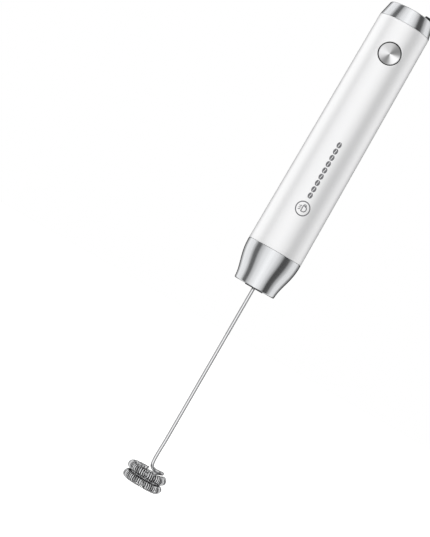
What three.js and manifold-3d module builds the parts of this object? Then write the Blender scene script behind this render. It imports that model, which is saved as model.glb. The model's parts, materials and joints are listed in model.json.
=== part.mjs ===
// A hand-held milk frother that charges through a socket in its end: a white tapered grip between a
// steel cap and a steel nose, with a push button, a motor, and a wire whisk whose two rings are wound
// with fine spring. Millimetres, +Z up the grip, the whisk hanging down, the button facing -Y.
// The origin is on the axis at the middle of the grip.
import * as THREE from "three";
import { mergeVertices } from "three/addons/utils/BufferGeometryUtils.js";
import Module from "manifold-3d";

const wasm = await Module();
wasm.setup();

// ---------- driving sizes ----------
const GAP = 0.3; // between pieces that seat on or slide past each other
const ROUND = 36; // sides of the large turned pieces
const SMALL_ROUND = 20; // sides of the small turned pieces
const LEAD_SIDES = 6;
const LEAD_STEPS = 26;
const SHAFT_STEPS = 84;

// grip, cap and nose
const GRIP_LENGTH = 117.4;
const GRIP_LOW_RADIUS = 13.5;
const GRIP_HIGH_RADIUS = 12.65;
const GRIP_WALL = 1.5;
const CAP_HEIGHT = 7.33;
const CAP_TOP_RADIUS = 11.0;
const CAP_WALL = 0.8;
const CAP_EDGE = 0.45;
const EDGE_KNUCKLE = 0.3; // share of an edge's size that is left at the middle of its rounding
const NOSE_LENGTH = 19.3;
const NOSE_END_RADIUS = 10.3;
const NOSE_WALL = 0.9;
const NOSE_EDGE = 0.7;
const NOSE_EASE = 1.2; // how late the S-curve of the nose turns in
const NOSE_STEPS = 6;

// liners that hold the cap and the nose in the grip
const CAP_SPIGOT = 6;
const NOSE_SPIGOT = 11.1;
const LINER_WALL = 1.5;
const LINER_FLOOR = 2.4;
const RING_SECTION = 0.35; // section radius of the sealing rings
const RING_FROM_SEAM = 3;
const GROOVE_ROOM = 0.15; // above and below a sealing ring in its groove
const RING_SEAT = 0.1; // between a sealing ring and the bottom of its groove
const HUB_TUBE_SHORT = 3.5; // how far the nose's inner tube stops below the floor of the drive socket
const HUB_SEAL_WALL = 2;

// whisk
const COLLAR_RADIUS = 4.6;
const COLLAR_HEIGHT = 7.0;
const COLLAR_PROUD = 0.4; // how far the collar shows below the nose
const COLLAR_EDGE = 0.35;
const STEM_RADIUS = 2.9;
const STEM_LENGTH = 18.6;
const STEM_FLAT = 2.2; // distance of the keying flat from the axis
const SHAFT_RADIUS = 0.8;
const SHAFT_REACH = 97.1; // from the nose's end down to the middle of the upper ring
const SHAFT_SEAT = 14.4; // how deep the shaft sits in the collar
const RING_RADIUS = 7.75; // middle line of each ring
const RING_PITCH = 4.5;
const RING_COUNT = 2;
const RING_START = 80; // degrees round from +X at which the wire is down on the upper ring
const RING_STEP = 80; // degrees in which the wire steps down to the next ring
const RING_END = 4; // degrees short of a whole turn at which the wire ends
const SLEEVE_INSET = 10; // degrees of bare wire before the spring begins
const LEG_ANGLE = 20; // direction in which the shaft turns out
const BEND_RADIUS = 2.6; // where the shaft turns out to the ring
const SLEEVE_RADIUS = 2.05;
const SLEEVE_WALL = 0.7;
const LEG_OVER_SLEEVE = 0.55; // from the outside of the spring up to the middle of the leg over it
const RING_STEP_ANGLE = 14; // degrees between the sections of the modelled rings

// drive
const SOCKET_WALL = 1.2;
const SOCKET_BOSS = 5.0;
const AXLE_RADIUS = 1.0;
const MOTOR_RADIUS = 10.05;
const MOTOR_FLAT_DEPTH = 2.45; // how much each flat takes off the motor's radius
const MOTOR_HALF_FLAT = MOTOR_RADIUS - MOTOR_FLAT_DEPTH;
const MOTOR_CAN_LENGTH = 22;
const MOTOR_CAN_WALL = 0.85;
const MOTOR_BELL = 2.7;
const MOTOR_BOSS_RADIUS = 3.6;
const MOTOR_BOSS_HEIGHT = 1.8;
const MOUNT_ABOVE_SOCKET = 0.5;
const MOUNT_PLATE = 2.7;
const MOTOR_SCREW_SHANK = 0.8;
const MOTOR_SCREW_HEAD = 1.6;
const BEARING_HOLDER = 0.6; // wall round each bearing
const BEARING_HEIGHT = 2.4;
const BEARING_CLEARANCE = 0.15; // round the shaft in its bearings
const MAGNET_THICKNESS = 0.21 * MOTOR_RADIUS;
const MAGNET_HEIGHT = 13;
const MAGNET_HALF_ANGLE = 48;
const AIR_GAP = 0.59; // between the magnets and the turning core
const CORE_RADIUS = MOTOR_RADIUS - MOTOR_CAN_WALL - GAP - MAGNET_THICKNESS - AIR_GAP;
const CORE_HEIGHT = 11.5;
const CORE_ABOVE_FLOOR = 3.2; // from the can's floor up to the core
const CORE_SHOE = 0.19 * CORE_RADIUS; // thickness of the core's outer arcs
const CORE_HUB_WALL = 1.1;
const CORE_SLOT = 0.9; // half width of the openings between the arcs
const POLES = 3;
const ARM_HALF_WIDTH = 0.18 * CORE_RADIUS;
const WINDING_BUILD = 0.13 * CORE_RADIUS;
const WINDING_ROOM = 0.2; // between a coil and the core
const COMMUTATOR_RADIUS = 2.1;
const COMMUTATOR_LENGTH = 3.8;
const COMMUTATOR_ABOVE_CORE = 1.9;
const BRUSH_BLOCK = 1.6;
const BRUSH_OFF = 0.25; // from the commutator to a brush
const TERMINAL_PLACE = 5.6; // from the axis out to the terminals
const TERMINAL_HALF_WIDTH = 1.1;
const TERMINAL_SHEET = 0.4;
const TERMINAL_PROUD = 2; // how far the terminals stand over the end bell

// cell, board and socket
const WORKS_LENGTH = 67.4; // what the motor, the board and the liners take of the grip's length
const CELL_RADIUS = 7.1;
const CELL_LENGTH = GRIP_LENGTH - WORKS_LENGTH;
const CELL_EDGE = 0.4;
const NUB_RADIUS = 2.8; // the cell's upper contact
const NUB_HEIGHT = 0.9;
const TAB_SHEET = 0.4; // thickness of the contact tabs at the cell's ends
const CELL_ABOVE_MOTOR = 3.5;
const FRAME_WALL = 1.0;
const FRAME_CLEARANCE = 0.4;
const RIB_THICKNESS = 1.4;
const RIB_COUNT = 3;
const BOARD_HALF_WIDTH = 7.6;
const BOARD_THICKNESS = 1.2;
const BOARD_ABOVE_CELL = 3.5;
const BOARD_BELOW_INSERT = 0.5;
const BOARD_SCREW_SPREAD = 5.8;
const BOARD_SCREW_SHANK = 0.6;
const BOARD_SCREW_HEAD = 1.4;
const BOARD_SCREW_DEPTH = 2.6;
const BOARD_SCREW_FROM_TOP = 2.4; // from the frame's upper end down to the screws
const POST_RADIUS = 1.9;
const SOCKET_HALF_WIDTH = 4.47;
const SOCKET_HALF_DEPTH = 1.63;
const SOCKET_LENGTH = 7.3;
const SOCKET_SHEET = 0.3;
const TONGUE_HALF_WIDTH = 3.3;
const TONGUE_HALF_THICKNESS = 0.35;
const LEAD_RADIUS = 0.55;
const LEAD_LANE = 3.6; // half width of the lane that the ribs leave open for the leads
const CLOSE = 0.15; // between a glued or soldered piece and what carries it

// button and switch
const BUTTON_RADIUS = 5.0;
const BUTTON_CLEARANCE = 0.4; // all round the button in its hole
const BUTTON_HOLE_RADIUS = BUTTON_RADIUS + BUTTON_CLEARANCE;
const BUTTON_BELOW_SEAM = 15.3;
const BUTTON_THICKNESS = 1.3;
const BUTTON_SINK = 0.4; // how far the button's face lies behind the crown of the grip
const BUTTON_EDGE = 0.3;
const BUTTON_RETAIN = 0.6; // how far the flange reaches behind the edge of the hole
const BUTTON_FLANGE_RADIUS = BUTTON_HOLE_RADIUS + BUTTON_RETAIN;
const BUTTON_FLANGE = 0.9;
const ROD_RADIUS = 1.5;
const GUIDE_FRONT = -6.2; // faces of the bridge that guides the button's rod
const GUIDE_BACK = -5.2;
const GUIDE_HALF_HEIGHT = 3.5;
const BUTTON_TRAVEL = 0.8;
const SWITCH_HALF_WIDTH = 3.1;
const SWITCH_HEIGHT = 3.5;
const PLUNGER_RADIUS = 1.7;
const PLUNGER_PROUD = 1.0;
const PLUNGER_SEAT = 0.6; // how deep the plunger stands in the switch

// stopper over the charging socket
const STOPPER_HALF_LENGTH = 7.05;
const STOPPER_HALF_WIDTH = 3.0;
const STOPPER_THICKNESS = 1.5;
const STOPPER_HINGE = 7.2; // distance of the bending line from the axis, towards -X
const ANCHOR_LENGTH = 1.8;
const ANCHOR_HALF_WIDTH = 2.0;
const SOCKET_BELOW_STOPPER = 0.5;
const PLUG_HALF_WIDTH = 3.6;
const PLUG_HALF_DEPTH = 1.0;
const PLUG_DEPTH = 1.3;
const TAB_START = 5.9;
const TAB_LENGTH = 3.5;
const TAB_HALF_WIDTH = 2.2;
const TAB_PROUD = 2.1;

// ---------- heights and radii that follow from them ----------
const gripTop = GRIP_LENGTH / 2;
const gripBottom = -gripTop;
const capTop = gripTop + CAP_HEIGHT;
const noseEnd = gripBottom - NOSE_LENGTH;
const collarBottom = noseEnd - COLLAR_PROUD;
const collarTop = collarBottom + COLLAR_HEIGHT;
const stemTop = collarTop + STEM_LENGTH;
const socketBottom = collarTop + GAP;
const socketFloor = stemTop + GAP;
const socketTop = socketFloor + SOCKET_BOSS;
const socketRadius = STEM_RADIUS + GAP + SOCKET_WALL;
// The motor's screws stand midway between the drive socket and the can's wall.
const MOTOR_SCREW_SPREAD =
  (socketRadius + MOTOR_SCREW_HEAD + MOTOR_RADIUS - MOTOR_CAN_WALL - MOTOR_SCREW_SHANK) / 2;
const mountBottom = socketTop + MOUNT_ABOVE_SOCKET;
const mountTop = mountBottom + MOUNT_PLATE;
const canBottom = mountTop + GAP;
const canTop = canBottom + MOTOR_CAN_LENGTH;
const bellBottom = canTop + GAP;
const bellTop = bellBottom + MOTOR_BELL;
const cellBottom = bellTop + CELL_ABOVE_MOTOR;
const cellTop = cellBottom + CELL_LENGTH;
const boardBottom = cellTop + BOARD_ABOVE_CELL;
const insertTop = capTop - CAP_WALL - GAP;
const insertFloor = insertTop - LINER_FLOOR;
const boardTop = insertFloor - BOARD_BELOW_INSERT;
const buttonHeight = gripTop - BUTTON_BELOW_SEAM;
const gripSlope = (GRIP_LOW_RADIUS - GRIP_HIGH_RADIUS) / GRIP_LENGTH;
const upperRing = noseEnd - SHAFT_REACH;

const gripRadius = (z) => GRIP_LOW_RADIUS - gripSlope * (z - gripBottom);
const gripBore = (z) => gripRadius(z) - GRIP_WALL;
const radians = THREE.MathUtils.degToRad;

// ---------- shape helpers ----------
// A turned piece: its half section as [radius, height] pairs, closed on itself or ending on the axis.
function turned(section, sides = ROUND) {
  const points = section.map(([radius, height]) => new THREE.Vector2(radius, height));
  if (THREE.ShapeUtils.area(points) < 0) points.reverse();
  const onAxis = points.filter((point) => point.x === 0).length > 0;
  const ordered = onAxis ? startOnAxis(points) : [...points, points[0].clone()];
  return new THREE.LatheGeometry(ordered, sides).rotateX(Math.PI / 2);
}

// Turns the list round so that it starts at one point on the axis and ends at the other.
function startOnAxis(points) {
  const count = points.length;
  const start = points.findIndex((point, i) => point.x === 0 && points[(i + count - 1) % count].x === 0);
  return points.map((_, i) => points[(start + i) % count]);
}

const disc = (radius, low, high, sides) => turned([[0, low], [radius, low], [radius, high], [0, high]], sides);

function ring(inner, outer, low, high, sides) {
  return turned([[inner, low], [outer, low], [outer, high], [inner, high]], sides);
}

function torus(middle, section, height) {
  return new THREE.TorusGeometry(middle, section, 6, ROUND).translate(0, 0, height);
}

function box(lowX, highX, lowY, highY, lowZ, highZ) {
  const made = new THREE.BoxGeometry(highX - lowX, highY - lowY, highZ - lowZ);
  return made.translate((lowX + highX) / 2, (lowY + highY) / 2, (lowZ + highZ) / 2);
}

// A flat oblong with round ends, standing on the XY plane between two heights.
function oblong(halfLength, halfWidth, low, high) {
  const shape = new THREE.Shape();
  const flat = halfLength - halfWidth;
  shape.absarc(flat, 0, halfWidth, -Math.PI / 2, Math.PI / 2, false);
  shape.absarc(-flat, 0, halfWidth, Math.PI / 2, (3 * Math.PI) / 2, false);
  return upright(shape, low, high);
}

function upright(shape, low, high, curveSegments = 8) {
  const settings = { depth: high - low, bevelEnabled: false, curveSegments };
  return new THREE.ExtrudeGeometry(shape, settings).translate(0, 0, low);
}

// A turned piece whose axis runs along Y: heights of the section become places along Y.
function turnedAlongY(section, x, z, sides = SMALL_ROUND) {
  return turned(section, sides).rotateX(-Math.PI / 2).translate(x, 0, z);
}

// A sector of a ring between two angles in degrees, measured from +X.
function sector(inner, outer, fromAngle, toAngle, low, high) {
  const shape = new THREE.Shape();
  shape.absarc(0, 0, outer, radians(fromAngle), radians(toAngle), false);
  shape.absarc(0, 0, inner, radians(toAngle), radians(fromAngle), true);
  return upright(shape, low, high, 12);
}

// A round wire or tube along a curve: a section with an optional bore, swept in equal steps.
function swept(curve, radius, sides, steps, bore = 0) {
  const circle = (r) => {
    const corner = (_, i) => new THREE.Vector2(r, 0).rotateAround(new THREE.Vector2(), radians((360 * i) / sides));
    return Array.from({ length: sides }, corner);
  };
  const section = new THREE.Shape(circle(radius));
  if (bore > 0) section.holes.push(new THREE.Path(circle(bore)));
  return new THREE.ExtrudeGeometry(section, { steps, extrudePath: curve, bevelEnabled: false });
}

// ---------- joining and cutting ----------
function toSolid(geometry) {
  const bare = geometry.index ? geometry.toNonIndexed() : geometry.clone();
  bare.deleteAttribute("normal");
  bare.deleteAttribute("uv");
  const merged = mergeVertices(bare, 1e-4);
  const vertProperties = merged.attributes.position.array;
  const triVerts = new Uint32Array(merged.index.array);
  return new wasm.Manifold(new wasm.Mesh({ numProp: 3, vertProperties, triVerts }));
}

function toGeometry(solid) {
  const mesh = solid.getMesh();
  const geometry = new THREE.BufferGeometry();
  geometry.setAttribute("position", new THREE.BufferAttribute(mesh.vertProperties, 3));
  geometry.setIndex(new THREE.BufferAttribute(mesh.triVerts, 1));
  return geometry;
}

function cut(base, ...tools) {
  return toGeometry(tools.reduce((left, tool) => left.subtract(toSolid(tool)), toSolid(base)));
}

function join(base, ...others) {
  return toGeometry(others.reduce((sum, other) => sum.add(toSolid(other)), toSolid(base)));
}

function common(base, other) {
  return toGeometry(toSolid(base).intersect(toSolid(other)));
}

// ---------- materials and the assembly ----------
const finish = (color, roughness, metalness) => new THREE.MeshStandardMaterial({ color, roughness, metalness });
const FINISHES = {
  whiteShell: () => finish(0xf4f4f5, 0.18, 0),
  polishedSteel: () => finish(0xc9cbcd, 0.2, 1),
  spunSteel: () => finish(0xc4c5c7, 0.35, 1),
  wireSteel: () => finish(0xb9bbbe, 0.25, 1),
  blackCollar: () => finish(0x17181a, 0.45, 0),
  blackSilicone: () => finish(0x101113, 0.6, 0),
  innerPlastic: () => finish(0xd9d9d6, 0.5, 0),
  blackNylon: () => finish(0x232427, 0.5, 0),
  zincedSteel: () => finish(0xa9adb0, 0.35, 1),
  ferrite: () => finish(0x3a3b3d, 0.8, 0),
  bronze: () => finish(0x9a6f3c, 0.45, 1),
  carbon: () => finish(0x2b2b2c, 0.7, 0),
  brass: () => finish(0xc39b4a, 0.3, 1),
  copper: () => finish(0xa6552a, 0.35, 1),
  cellWrap: () => finish(0x2f6fb2, 0.35, 0),
  nickel: () => finish(0xc2c0b8, 0.3, 1),
  foam: () => finish(0x4a4b4f, 0.95, 0),
  boardMask: () => finish(0x14532d, 0.4, 0),
  redWire: () => finish(0xb3201c, 0.45, 0),
  blackWire: () => finish(0x1b1b1d, 0.45, 0),
};

const frother = new THREE.Group();

function add(name, geometry, finishName) {
  const mesh = new THREE.Mesh(geometry, FINISHES[finishName]());
  mesh.name = name;
  frother.add(mesh);
}

// ---------- grip ----------
function gripTube() {
  const wall = [
    [GRIP_LOW_RADIUS, gripBottom],
    [GRIP_HIGH_RADIUS, gripTop],
    [GRIP_HIGH_RADIUS - GRIP_WALL, gripTop],
    [GRIP_LOW_RADIUS - GRIP_WALL, gripBottom],
  ];
  const hole = turnedAlongY(
    [[0, -GRIP_LOW_RADIUS * 2], [BUTTON_HOLE_RADIUS, -GRIP_LOW_RADIUS * 2], [BUTTON_HOLE_RADIUS, 0], [0, 0]],
    0, buttonHeight, ROUND);
  return cut(turned(wall), hole);
}
add("grip_tube", gripTube(), "whiteShell");

// ---------- cap, its insert and the stopper's anchor ----------
const capSeam = gripTop + GAP;
const capSlope = (gripRadius(capSeam) - CAP_TOP_RADIUS) / (capTop - capSeam);
const capRadius = (z) => gripRadius(capSeam) - capSlope * (z - capSeam);
const stopperMiddle = STOPPER_HALF_LENGTH + GAP - STOPPER_HINGE;
const stopperBottom = capTop - STOPPER_THICKNESS;

// The recess that the stopper and its anchor lie in.
function stopperRecess(low, high) {
  const bed = oblong(STOPPER_HALF_LENGTH + GAP, STOPPER_HALF_WIDTH + GAP, low, high);
  bed.translate(stopperMiddle, 0, 0);
  const anchorEnd = -STOPPER_HINGE - ANCHOR_LENGTH - GAP;
  const reach = stopperMiddle - STOPPER_HALF_LENGTH + STOPPER_HALF_WIDTH;
  const neck = box(anchorEnd, reach, -ANCHOR_HALF_WIDTH - GAP, ANCHOR_HALF_WIDTH + GAP, low, high);
  return join(bed, neck);
}

function topCap() {
  const shoulder = capTop - CAP_EDGE;
  const shell = turned([
    [0, capTop],
    [CAP_TOP_RADIUS - CAP_EDGE, capTop],
    [capRadius(shoulder) - EDGE_KNUCKLE * CAP_EDGE, capTop - EDGE_KNUCKLE * CAP_EDGE],
    [capRadius(shoulder), shoulder],
    [capRadius(capSeam), capSeam],
    [capRadius(capSeam) - CAP_WALL, capSeam],
    [capRadius(capTop - CAP_WALL) - CAP_WALL, capTop - CAP_WALL],
    [0, capTop - CAP_WALL],
  ]);
  return cut(shell, stopperRecess(capTop - 2 * CAP_WALL, capTop + 1));
}
add("top_cap", topCap(), "polishedSteel");

const capSpigotRadius = Math.min(gripBore(gripTop), gripBore(gripTop - CAP_SPIGOT)) - GAP;
const insertBore = capSpigotRadius - LINER_WALL;
const capRingHeight = gripTop - RING_FROM_SEAM;
const ringGroove = 2 * RING_SECTION + RING_SEAT / 2; // depth of a groove that holds a sealing ring

// Half section of a groove, to be cut out of a spigot's outside.
function groove(spigotRadius, height) {
  const half = RING_SECTION + GROOVE_ROOM;
  return ring(spigotRadius - ringGroove, spigotRadius + 1, height - half, height + half);
}

function capInsert() {
  const inside = CAP_WALL + GAP;
  const body = turned([
    [insertBore, gripTop - CAP_SPIGOT],
    [capSpigotRadius, gripTop - CAP_SPIGOT],
    [capSpigotRadius, capSeam],
    [capRadius(capSeam) - inside, capSeam],
    [capRadius(insertTop) - inside, insertTop],
    [0, insertTop],
    [0, insertFloor],
    [insertBore, insertFloor],
  ]);
  const mouth = oblong(SOCKET_HALF_WIDTH + GAP, SOCKET_HALF_DEPTH + GAP, insertFloor - 1, insertTop + 1);
  return cut(body, groove(capSpigotRadius, capRingHeight), stopperRecess(stopperBottom - GAP, capTop), mouth);
}
add("cap_insert", capInsert(), "innerPlastic");

const ringInside = (spigotRadius) => spigotRadius - ringGroove + RING_SECTION + RING_SEAT;
add("cap_seal_ring", torus(ringInside(capSpigotRadius), RING_SECTION, capRingHeight), "blackSilicone");

function stopperAnchor() {
  return box(
    -STOPPER_HINGE - ANCHOR_LENGTH, -STOPPER_HINGE - CLOSE,
    -ANCHOR_HALF_WIDTH, ANCHOR_HALF_WIDTH,
    stopperBottom, capTop);
}
add("stopper_anchor", stopperAnchor(), "blackSilicone");

// The stopper: an oblong lid with a short plug below it and a pull tab that stands over the cap.
function portStopper() {
  const lid = oblong(STOPPER_HALF_LENGTH, STOPPER_HALF_WIDTH, stopperBottom, capTop);
  lid.translate(stopperMiddle, 0, 0);
  const plug = oblong(PLUG_HALF_WIDTH, PLUG_HALF_DEPTH, stopperBottom - PLUG_DEPTH, stopperBottom + 0.5);
  const corner = TAB_PROUD / 4;
  const inset = 0.2; // the tab's neck stands in from the tab's start and from the lid's rim
  const neckHalf = STOPPER_HALF_WIDTH / 2;
  const flat = STOPPER_HALF_LENGTH - STOPPER_HALF_WIDTH;
  const rim = stopperMiddle + flat + Math.sqrt(STOPPER_HALF_WIDTH ** 2 - neckHalf ** 2);
  const neck = box(TAB_START + inset, rim - inset, -neckHalf, neckHalf, capTop - 0.5, capTop + 2 * GAP);
  const side = new THREE.Shape([
    new THREE.Vector2(TAB_START, capTop + GAP),
    new THREE.Vector2(TAB_START + TAB_LENGTH, capTop + GAP),
    new THREE.Vector2(TAB_START + TAB_LENGTH, capTop + TAB_PROUD - corner),
    new THREE.Vector2(TAB_START + TAB_LENGTH - corner, capTop + TAB_PROUD),
    new THREE.Vector2(TAB_START + corner, capTop + TAB_PROUD),
    new THREE.Vector2(TAB_START, capTop + TAB_PROUD - corner),
  ]);
  const settings = { depth: 2 * TAB_HALF_WIDTH, bevelEnabled: false };
  const tab = new THREE.ExtrudeGeometry(side, settings).rotateX(Math.PI / 2).translate(0, TAB_HALF_WIDTH, 0);
  return join(lid, plug, neck, tab);
}
add("port_stopper", portStopper(), "blackSilicone");

// ---------- nose and its liner ----------
const noseSeam = gripBottom - GAP;
function noseRadius(z) {
  const share = (noseSeam - z) / (noseSeam - noseEnd);
  const turnIn = (1 - Math.cos(Math.PI * share ** NOSE_EASE)) / 2;
  return GRIP_LOW_RADIUS - (GRIP_LOW_RADIUS - NOSE_END_RADIUS) * turnIn;
}

// The nose's S-curve as section points, set in from the outside by a wall, down to a height.
function noseCurve(inset, low, steps) {
  const height = (i) => noseSeam + ((low - noseSeam) * i) / steps;
  return Array.from({ length: steps + 1 }, (_, i) => [noseRadius(height(i)) - inset, height(i)]);
}

const noseMouth = COLLAR_RADIUS + GAP;
const noseFloor = noseEnd + NOSE_WALL;
function noseCone() {
  return turned([
    ...noseCurve(0, noseEnd + NOSE_EDGE, NOSE_STEPS),
    [NOSE_END_RADIUS - EDGE_KNUCKLE * NOSE_EDGE, noseEnd + EDGE_KNUCKLE * NOSE_EDGE],
    [NOSE_END_RADIUS - NOSE_EDGE, noseEnd],
    [noseMouth, noseEnd],
    [noseMouth, noseFloor],
    ...noseCurve(NOSE_WALL, noseFloor, NOSE_STEPS / 2).reverse(),
  ]);
}
add("nose_cone", noseCone(), "polishedSteel");

const noseSpigotTop = gripBottom + NOSE_SPIGOT;
const noseSpigotRadius = Math.min(gripBore(gripBottom), gripBore(noseSpigotTop)) - GAP;
const noseRingHeight = gripBottom + RING_FROM_SEAM;
const hubBore = Math.max(socketRadius + GAP, noseMouth);
const hubTubeTop = socketFloor - HUB_TUBE_SHORT;
const linerPocket = noseSeam - NOSE_LENGTH / 3;

function noseLiner() {
  const body = turned([
    [hubBore, noseFloor + GAP],
    ...noseCurve(NOSE_WALL + GAP, noseFloor + GAP, NOSE_STEPS / 2).reverse(),
    [noseSpigotRadius, noseSeam],
    [noseSpigotRadius, noseSpigotTop],
    [noseSpigotRadius - LINER_WALL, noseSpigotTop],
    [noseSpigotRadius - LINER_WALL, linerPocket],
    [hubBore + LINER_WALL, linerPocket],
    [hubBore + LINER_WALL, hubTubeTop],
    [hubBore, hubTubeTop],
  ]);
  return cut(body, groove(noseSpigotRadius, noseRingHeight));
}
add("nose_liner", noseLiner(), "innerPlastic");
add("nose_seal_ring", torus(ringInside(noseSpigotRadius), RING_SECTION, noseRingHeight), "blackSilicone");
const hubSealOuter = hubBore + HUB_SEAL_WALL;
const hubSealTop = hubTubeTop + HUB_SEAL_WALL;
add("hub_seal", ring(hubBore, hubSealOuter, hubTubeTop + GAP, hubSealTop, SMALL_ROUND), "blackSilicone");

// ---------- whisk: collar, shaft and the spring round its rings ----------
// A round bar with one flat, which keys the stem in its socket.
function keyedBar(radius, flat, low, high) {
  return cut(disc(radius, low, high, SMALL_ROUND), box(-radius, radius, flat, radius + 1, low - 1, high + 1));
}

function whiskCollar() {
  const head = turned([
    [0, collarBottom],
    [COLLAR_RADIUS - COLLAR_EDGE, collarBottom],
    [COLLAR_RADIUS, collarBottom + COLLAR_EDGE],
    [COLLAR_RADIUS, collarTop - COLLAR_EDGE],
    [COLLAR_RADIUS - COLLAR_EDGE, collarTop],
    [0, collarTop],
  ], SMALL_ROUND);
  const bore = disc(SHAFT_RADIUS + GAP, collarBottom - 1, collarBottom + SHAFT_SEAT + GAP, SMALL_ROUND);
  return cut(join(head, keyedBar(STEM_RADIUS, STEM_FLAT, collarTop - 1, stemTop)), bore);
}
add("whisk_collar", whiskCollar(), "blackCollar");

// The middle line of the rings: flat turns, each stepping down to the next over a short part of a turn.
function ringPoint(degrees, lift = 0, target = new THREE.Vector3()) {
  let height = upperRing + lift;
  for (let turn = 1; turn < RING_COUNT; turn += 1) {
    height -= RING_PITCH * THREE.MathUtils.smoothstep(degrees, 360 * turn, 360 * turn + RING_STEP);
  }
  const angle = radians(degrees);
  return target.set(RING_RADIUS * Math.cos(angle), RING_RADIUS * Math.sin(angle), height);
}

class RingLine extends THREE.Curve {
  constructor(from, to) {
    super();
    this.from = from;
    this.to = to;
  }
  getPoint(t, target) {
    return ringPoint(THREE.MathUtils.lerp(this.from, this.to, t), 0, target);
  }
}

const ringEnd = 360 * RING_COUNT - RING_END;
const legLift = SLEEVE_RADIUS + LEG_OVER_SLEEVE;

// The whole wire: straight down the axis, out over the upper ring, down on to it, then round.
function shaftLine() {
  const top = collarBottom + SHAFT_SEAT;
  const leg = upperRing + legLift;
  const bendTop = leg + BEND_RADIUS;
  const outward = (radius, degrees, height) => {
    return new THREE.Vector3(radius * Math.cos(radians(degrees)), radius * Math.sin(radians(degrees)), height);
  };
  const points = Array.from({ length: 9 }, (_, i) => new THREE.Vector3(0, 0, top + ((bendTop - top) * i) / 8));
  points.push(
    outward(BEND_RADIUS * 0.3, LEG_ANGLE, leg + BEND_RADIUS * 0.3),
    outward(BEND_RADIUS, LEG_ANGLE, leg),
    outward(RING_RADIUS * 0.68, LEG_ANGLE - 2, leg),
    outward(RING_RADIUS * 0.91, LEG_ANGLE + 7, leg - 0.1));
  const landing = RING_START - LEG_ANGLE - 10;
  for (const share of [0.5, 0.8]) {
    points.push(ringPoint(LEG_ANGLE + 10 + landing * share, legLift * (1 - share) * 1.1));
  }
  for (let angle = RING_START; angle < ringEnd; angle += RING_STEP_ANGLE) points.push(ringPoint(angle));
  points.push(ringPoint(ringEnd));
  return new THREE.CatmullRomCurve3(points, false, "centripetal");
}
add("whisk_shaft", swept(shaftLine(), SHAFT_RADIUS, 6, SHAFT_STEPS), "wireSteel");

const sleeveLine = new RingLine(RING_START + SLEEVE_INSET, ringEnd - 2);
const sleeveSteps = Math.round((ringEnd - RING_START) / RING_STEP_ANGLE);
const sleeveBore = SLEEVE_RADIUS - SLEEVE_WALL;
add("whisk_spring", swept(sleeveLine, SLEEVE_RADIUS, 8, sleeveSteps, sleeveBore), "wireSteel");

// ---------- drive: hub, motor shaft, armature ----------
function driveSocket() {
  const body = disc(socketRadius, socketBottom, socketTop, SMALL_ROUND);
  const stemHole = keyedBar(STEM_RADIUS + GAP, STEM_FLAT + GAP, socketBottom - 1, socketFloor);
  const axleHole = disc(AXLE_RADIUS + GAP, socketFloor - 1, socketTop + 1, SMALL_ROUND);
  return cut(body, stemHole, axleHole);
}
add("drive_socket", driveSocket(), "blackNylon");

const bearingLow = canBottom - MOTOR_BOSS_HEIGHT + GAP + CLOSE;
const bearingHigh = bellTop - COMMUTATOR_ABOVE_CORE / 2;
const coreBottom = canBottom + MOTOR_CAN_WALL + CORE_ABOVE_FLOOR;
const coreTop = coreBottom + CORE_HEIGHT;
const commutatorBottom = coreTop + COMMUTATOR_ABOVE_CORE;
const commutatorTop = commutatorBottom + COMMUTATOR_LENGTH;
add("motor_shaft", disc(AXLE_RADIUS, socketFloor + GAP, bearingHigh, SMALL_ROUND), "zincedSteel");

const coreHub = AXLE_RADIUS + GAP + CORE_HUB_WALL;
const shoeInner = CORE_RADIUS - CORE_SHOE;
const poleAngle = (i) => radians((360 * i) / POLES + 90);
const atPole = (geometry, i) => geometry.rotateZ(poleAngle(i));

function armatureCore() {
  const rim = ring(shoeInner, CORE_RADIUS, coreBottom, coreTop, 36);
  const slots = [];
  const arms = [];
  for (let i = 0; i < POLES; i += 1) {
    const slot = box(0, CORE_RADIUS + 1, -CORE_SLOT, CORE_SLOT, coreBottom - 1, coreTop + 1);
    slots.push(atPole(slot.rotateZ(Math.PI / POLES), i));
    const arm = box(
      coreHub - CORE_HUB_WALL / 2, shoeInner + CORE_SHOE / 2,
      -ARM_HALF_WIDTH, ARM_HALF_WIDTH, coreBottom, coreTop);
    arms.push(atPole(arm, i));
  }
  return join(cut(rim, ...slots), ring(AXLE_RADIUS + GAP, coreHub, coreBottom, coreTop, SMALL_ROUND), ...arms);
}
add("armature_core", armatureCore(), "zincedSteel");

// One coil: a block round a pole's arm, with room for the arm.
function winding(i) {
  const inner = ARM_HALF_WIDTH + WINDING_ROOM;
  const outer = inner + WINDING_BUILD;
  const low = coreBottom - WINDING_ROOM;
  const high = coreTop + WINDING_ROOM;
  const reach = Math.sqrt((shoeInner - WINDING_ROOM) ** 2 - outer ** 2);
  const block = box(coreHub + GAP, reach, -outer, outer, low - WINDING_BUILD, high + WINDING_BUILD);
  const window = box(0, CORE_RADIUS, -inner, inner, low, high);
  return atPole(cut(block, window), i);
}
for (let i = 0; i < POLES; i += 1) add("winding_" + (i + 1), winding(i), "copper");
const commutatorRing = ring(
  AXLE_RADIUS + GAP, COMMUTATOR_RADIUS, commutatorBottom, commutatorTop, SMALL_ROUND);
add("commutator", commutatorRing, "copper");

// ---------- motor ----------
// A round outline with two flats, between two heights.
function motorBlock(radius, halfFlat, low, high) {
  return common(disc(radius, low, high, 36), box(-radius, radius, -halfFlat, halfFlat, low - 1, high + 1));
}

const screwSides = [["left", -1], ["right", 1]];
const bearingSeat = MOTOR_BOSS_RADIUS - BEARING_HOLDER;

function screwHoles(low, high) {
  const hole = () => disc(MOTOR_SCREW_SHANK + GAP, low, high, 12);
  return screwSides.map(([, side]) => hole().translate(side * MOTOR_SCREW_SPREAD, 0, 0));
}

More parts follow.
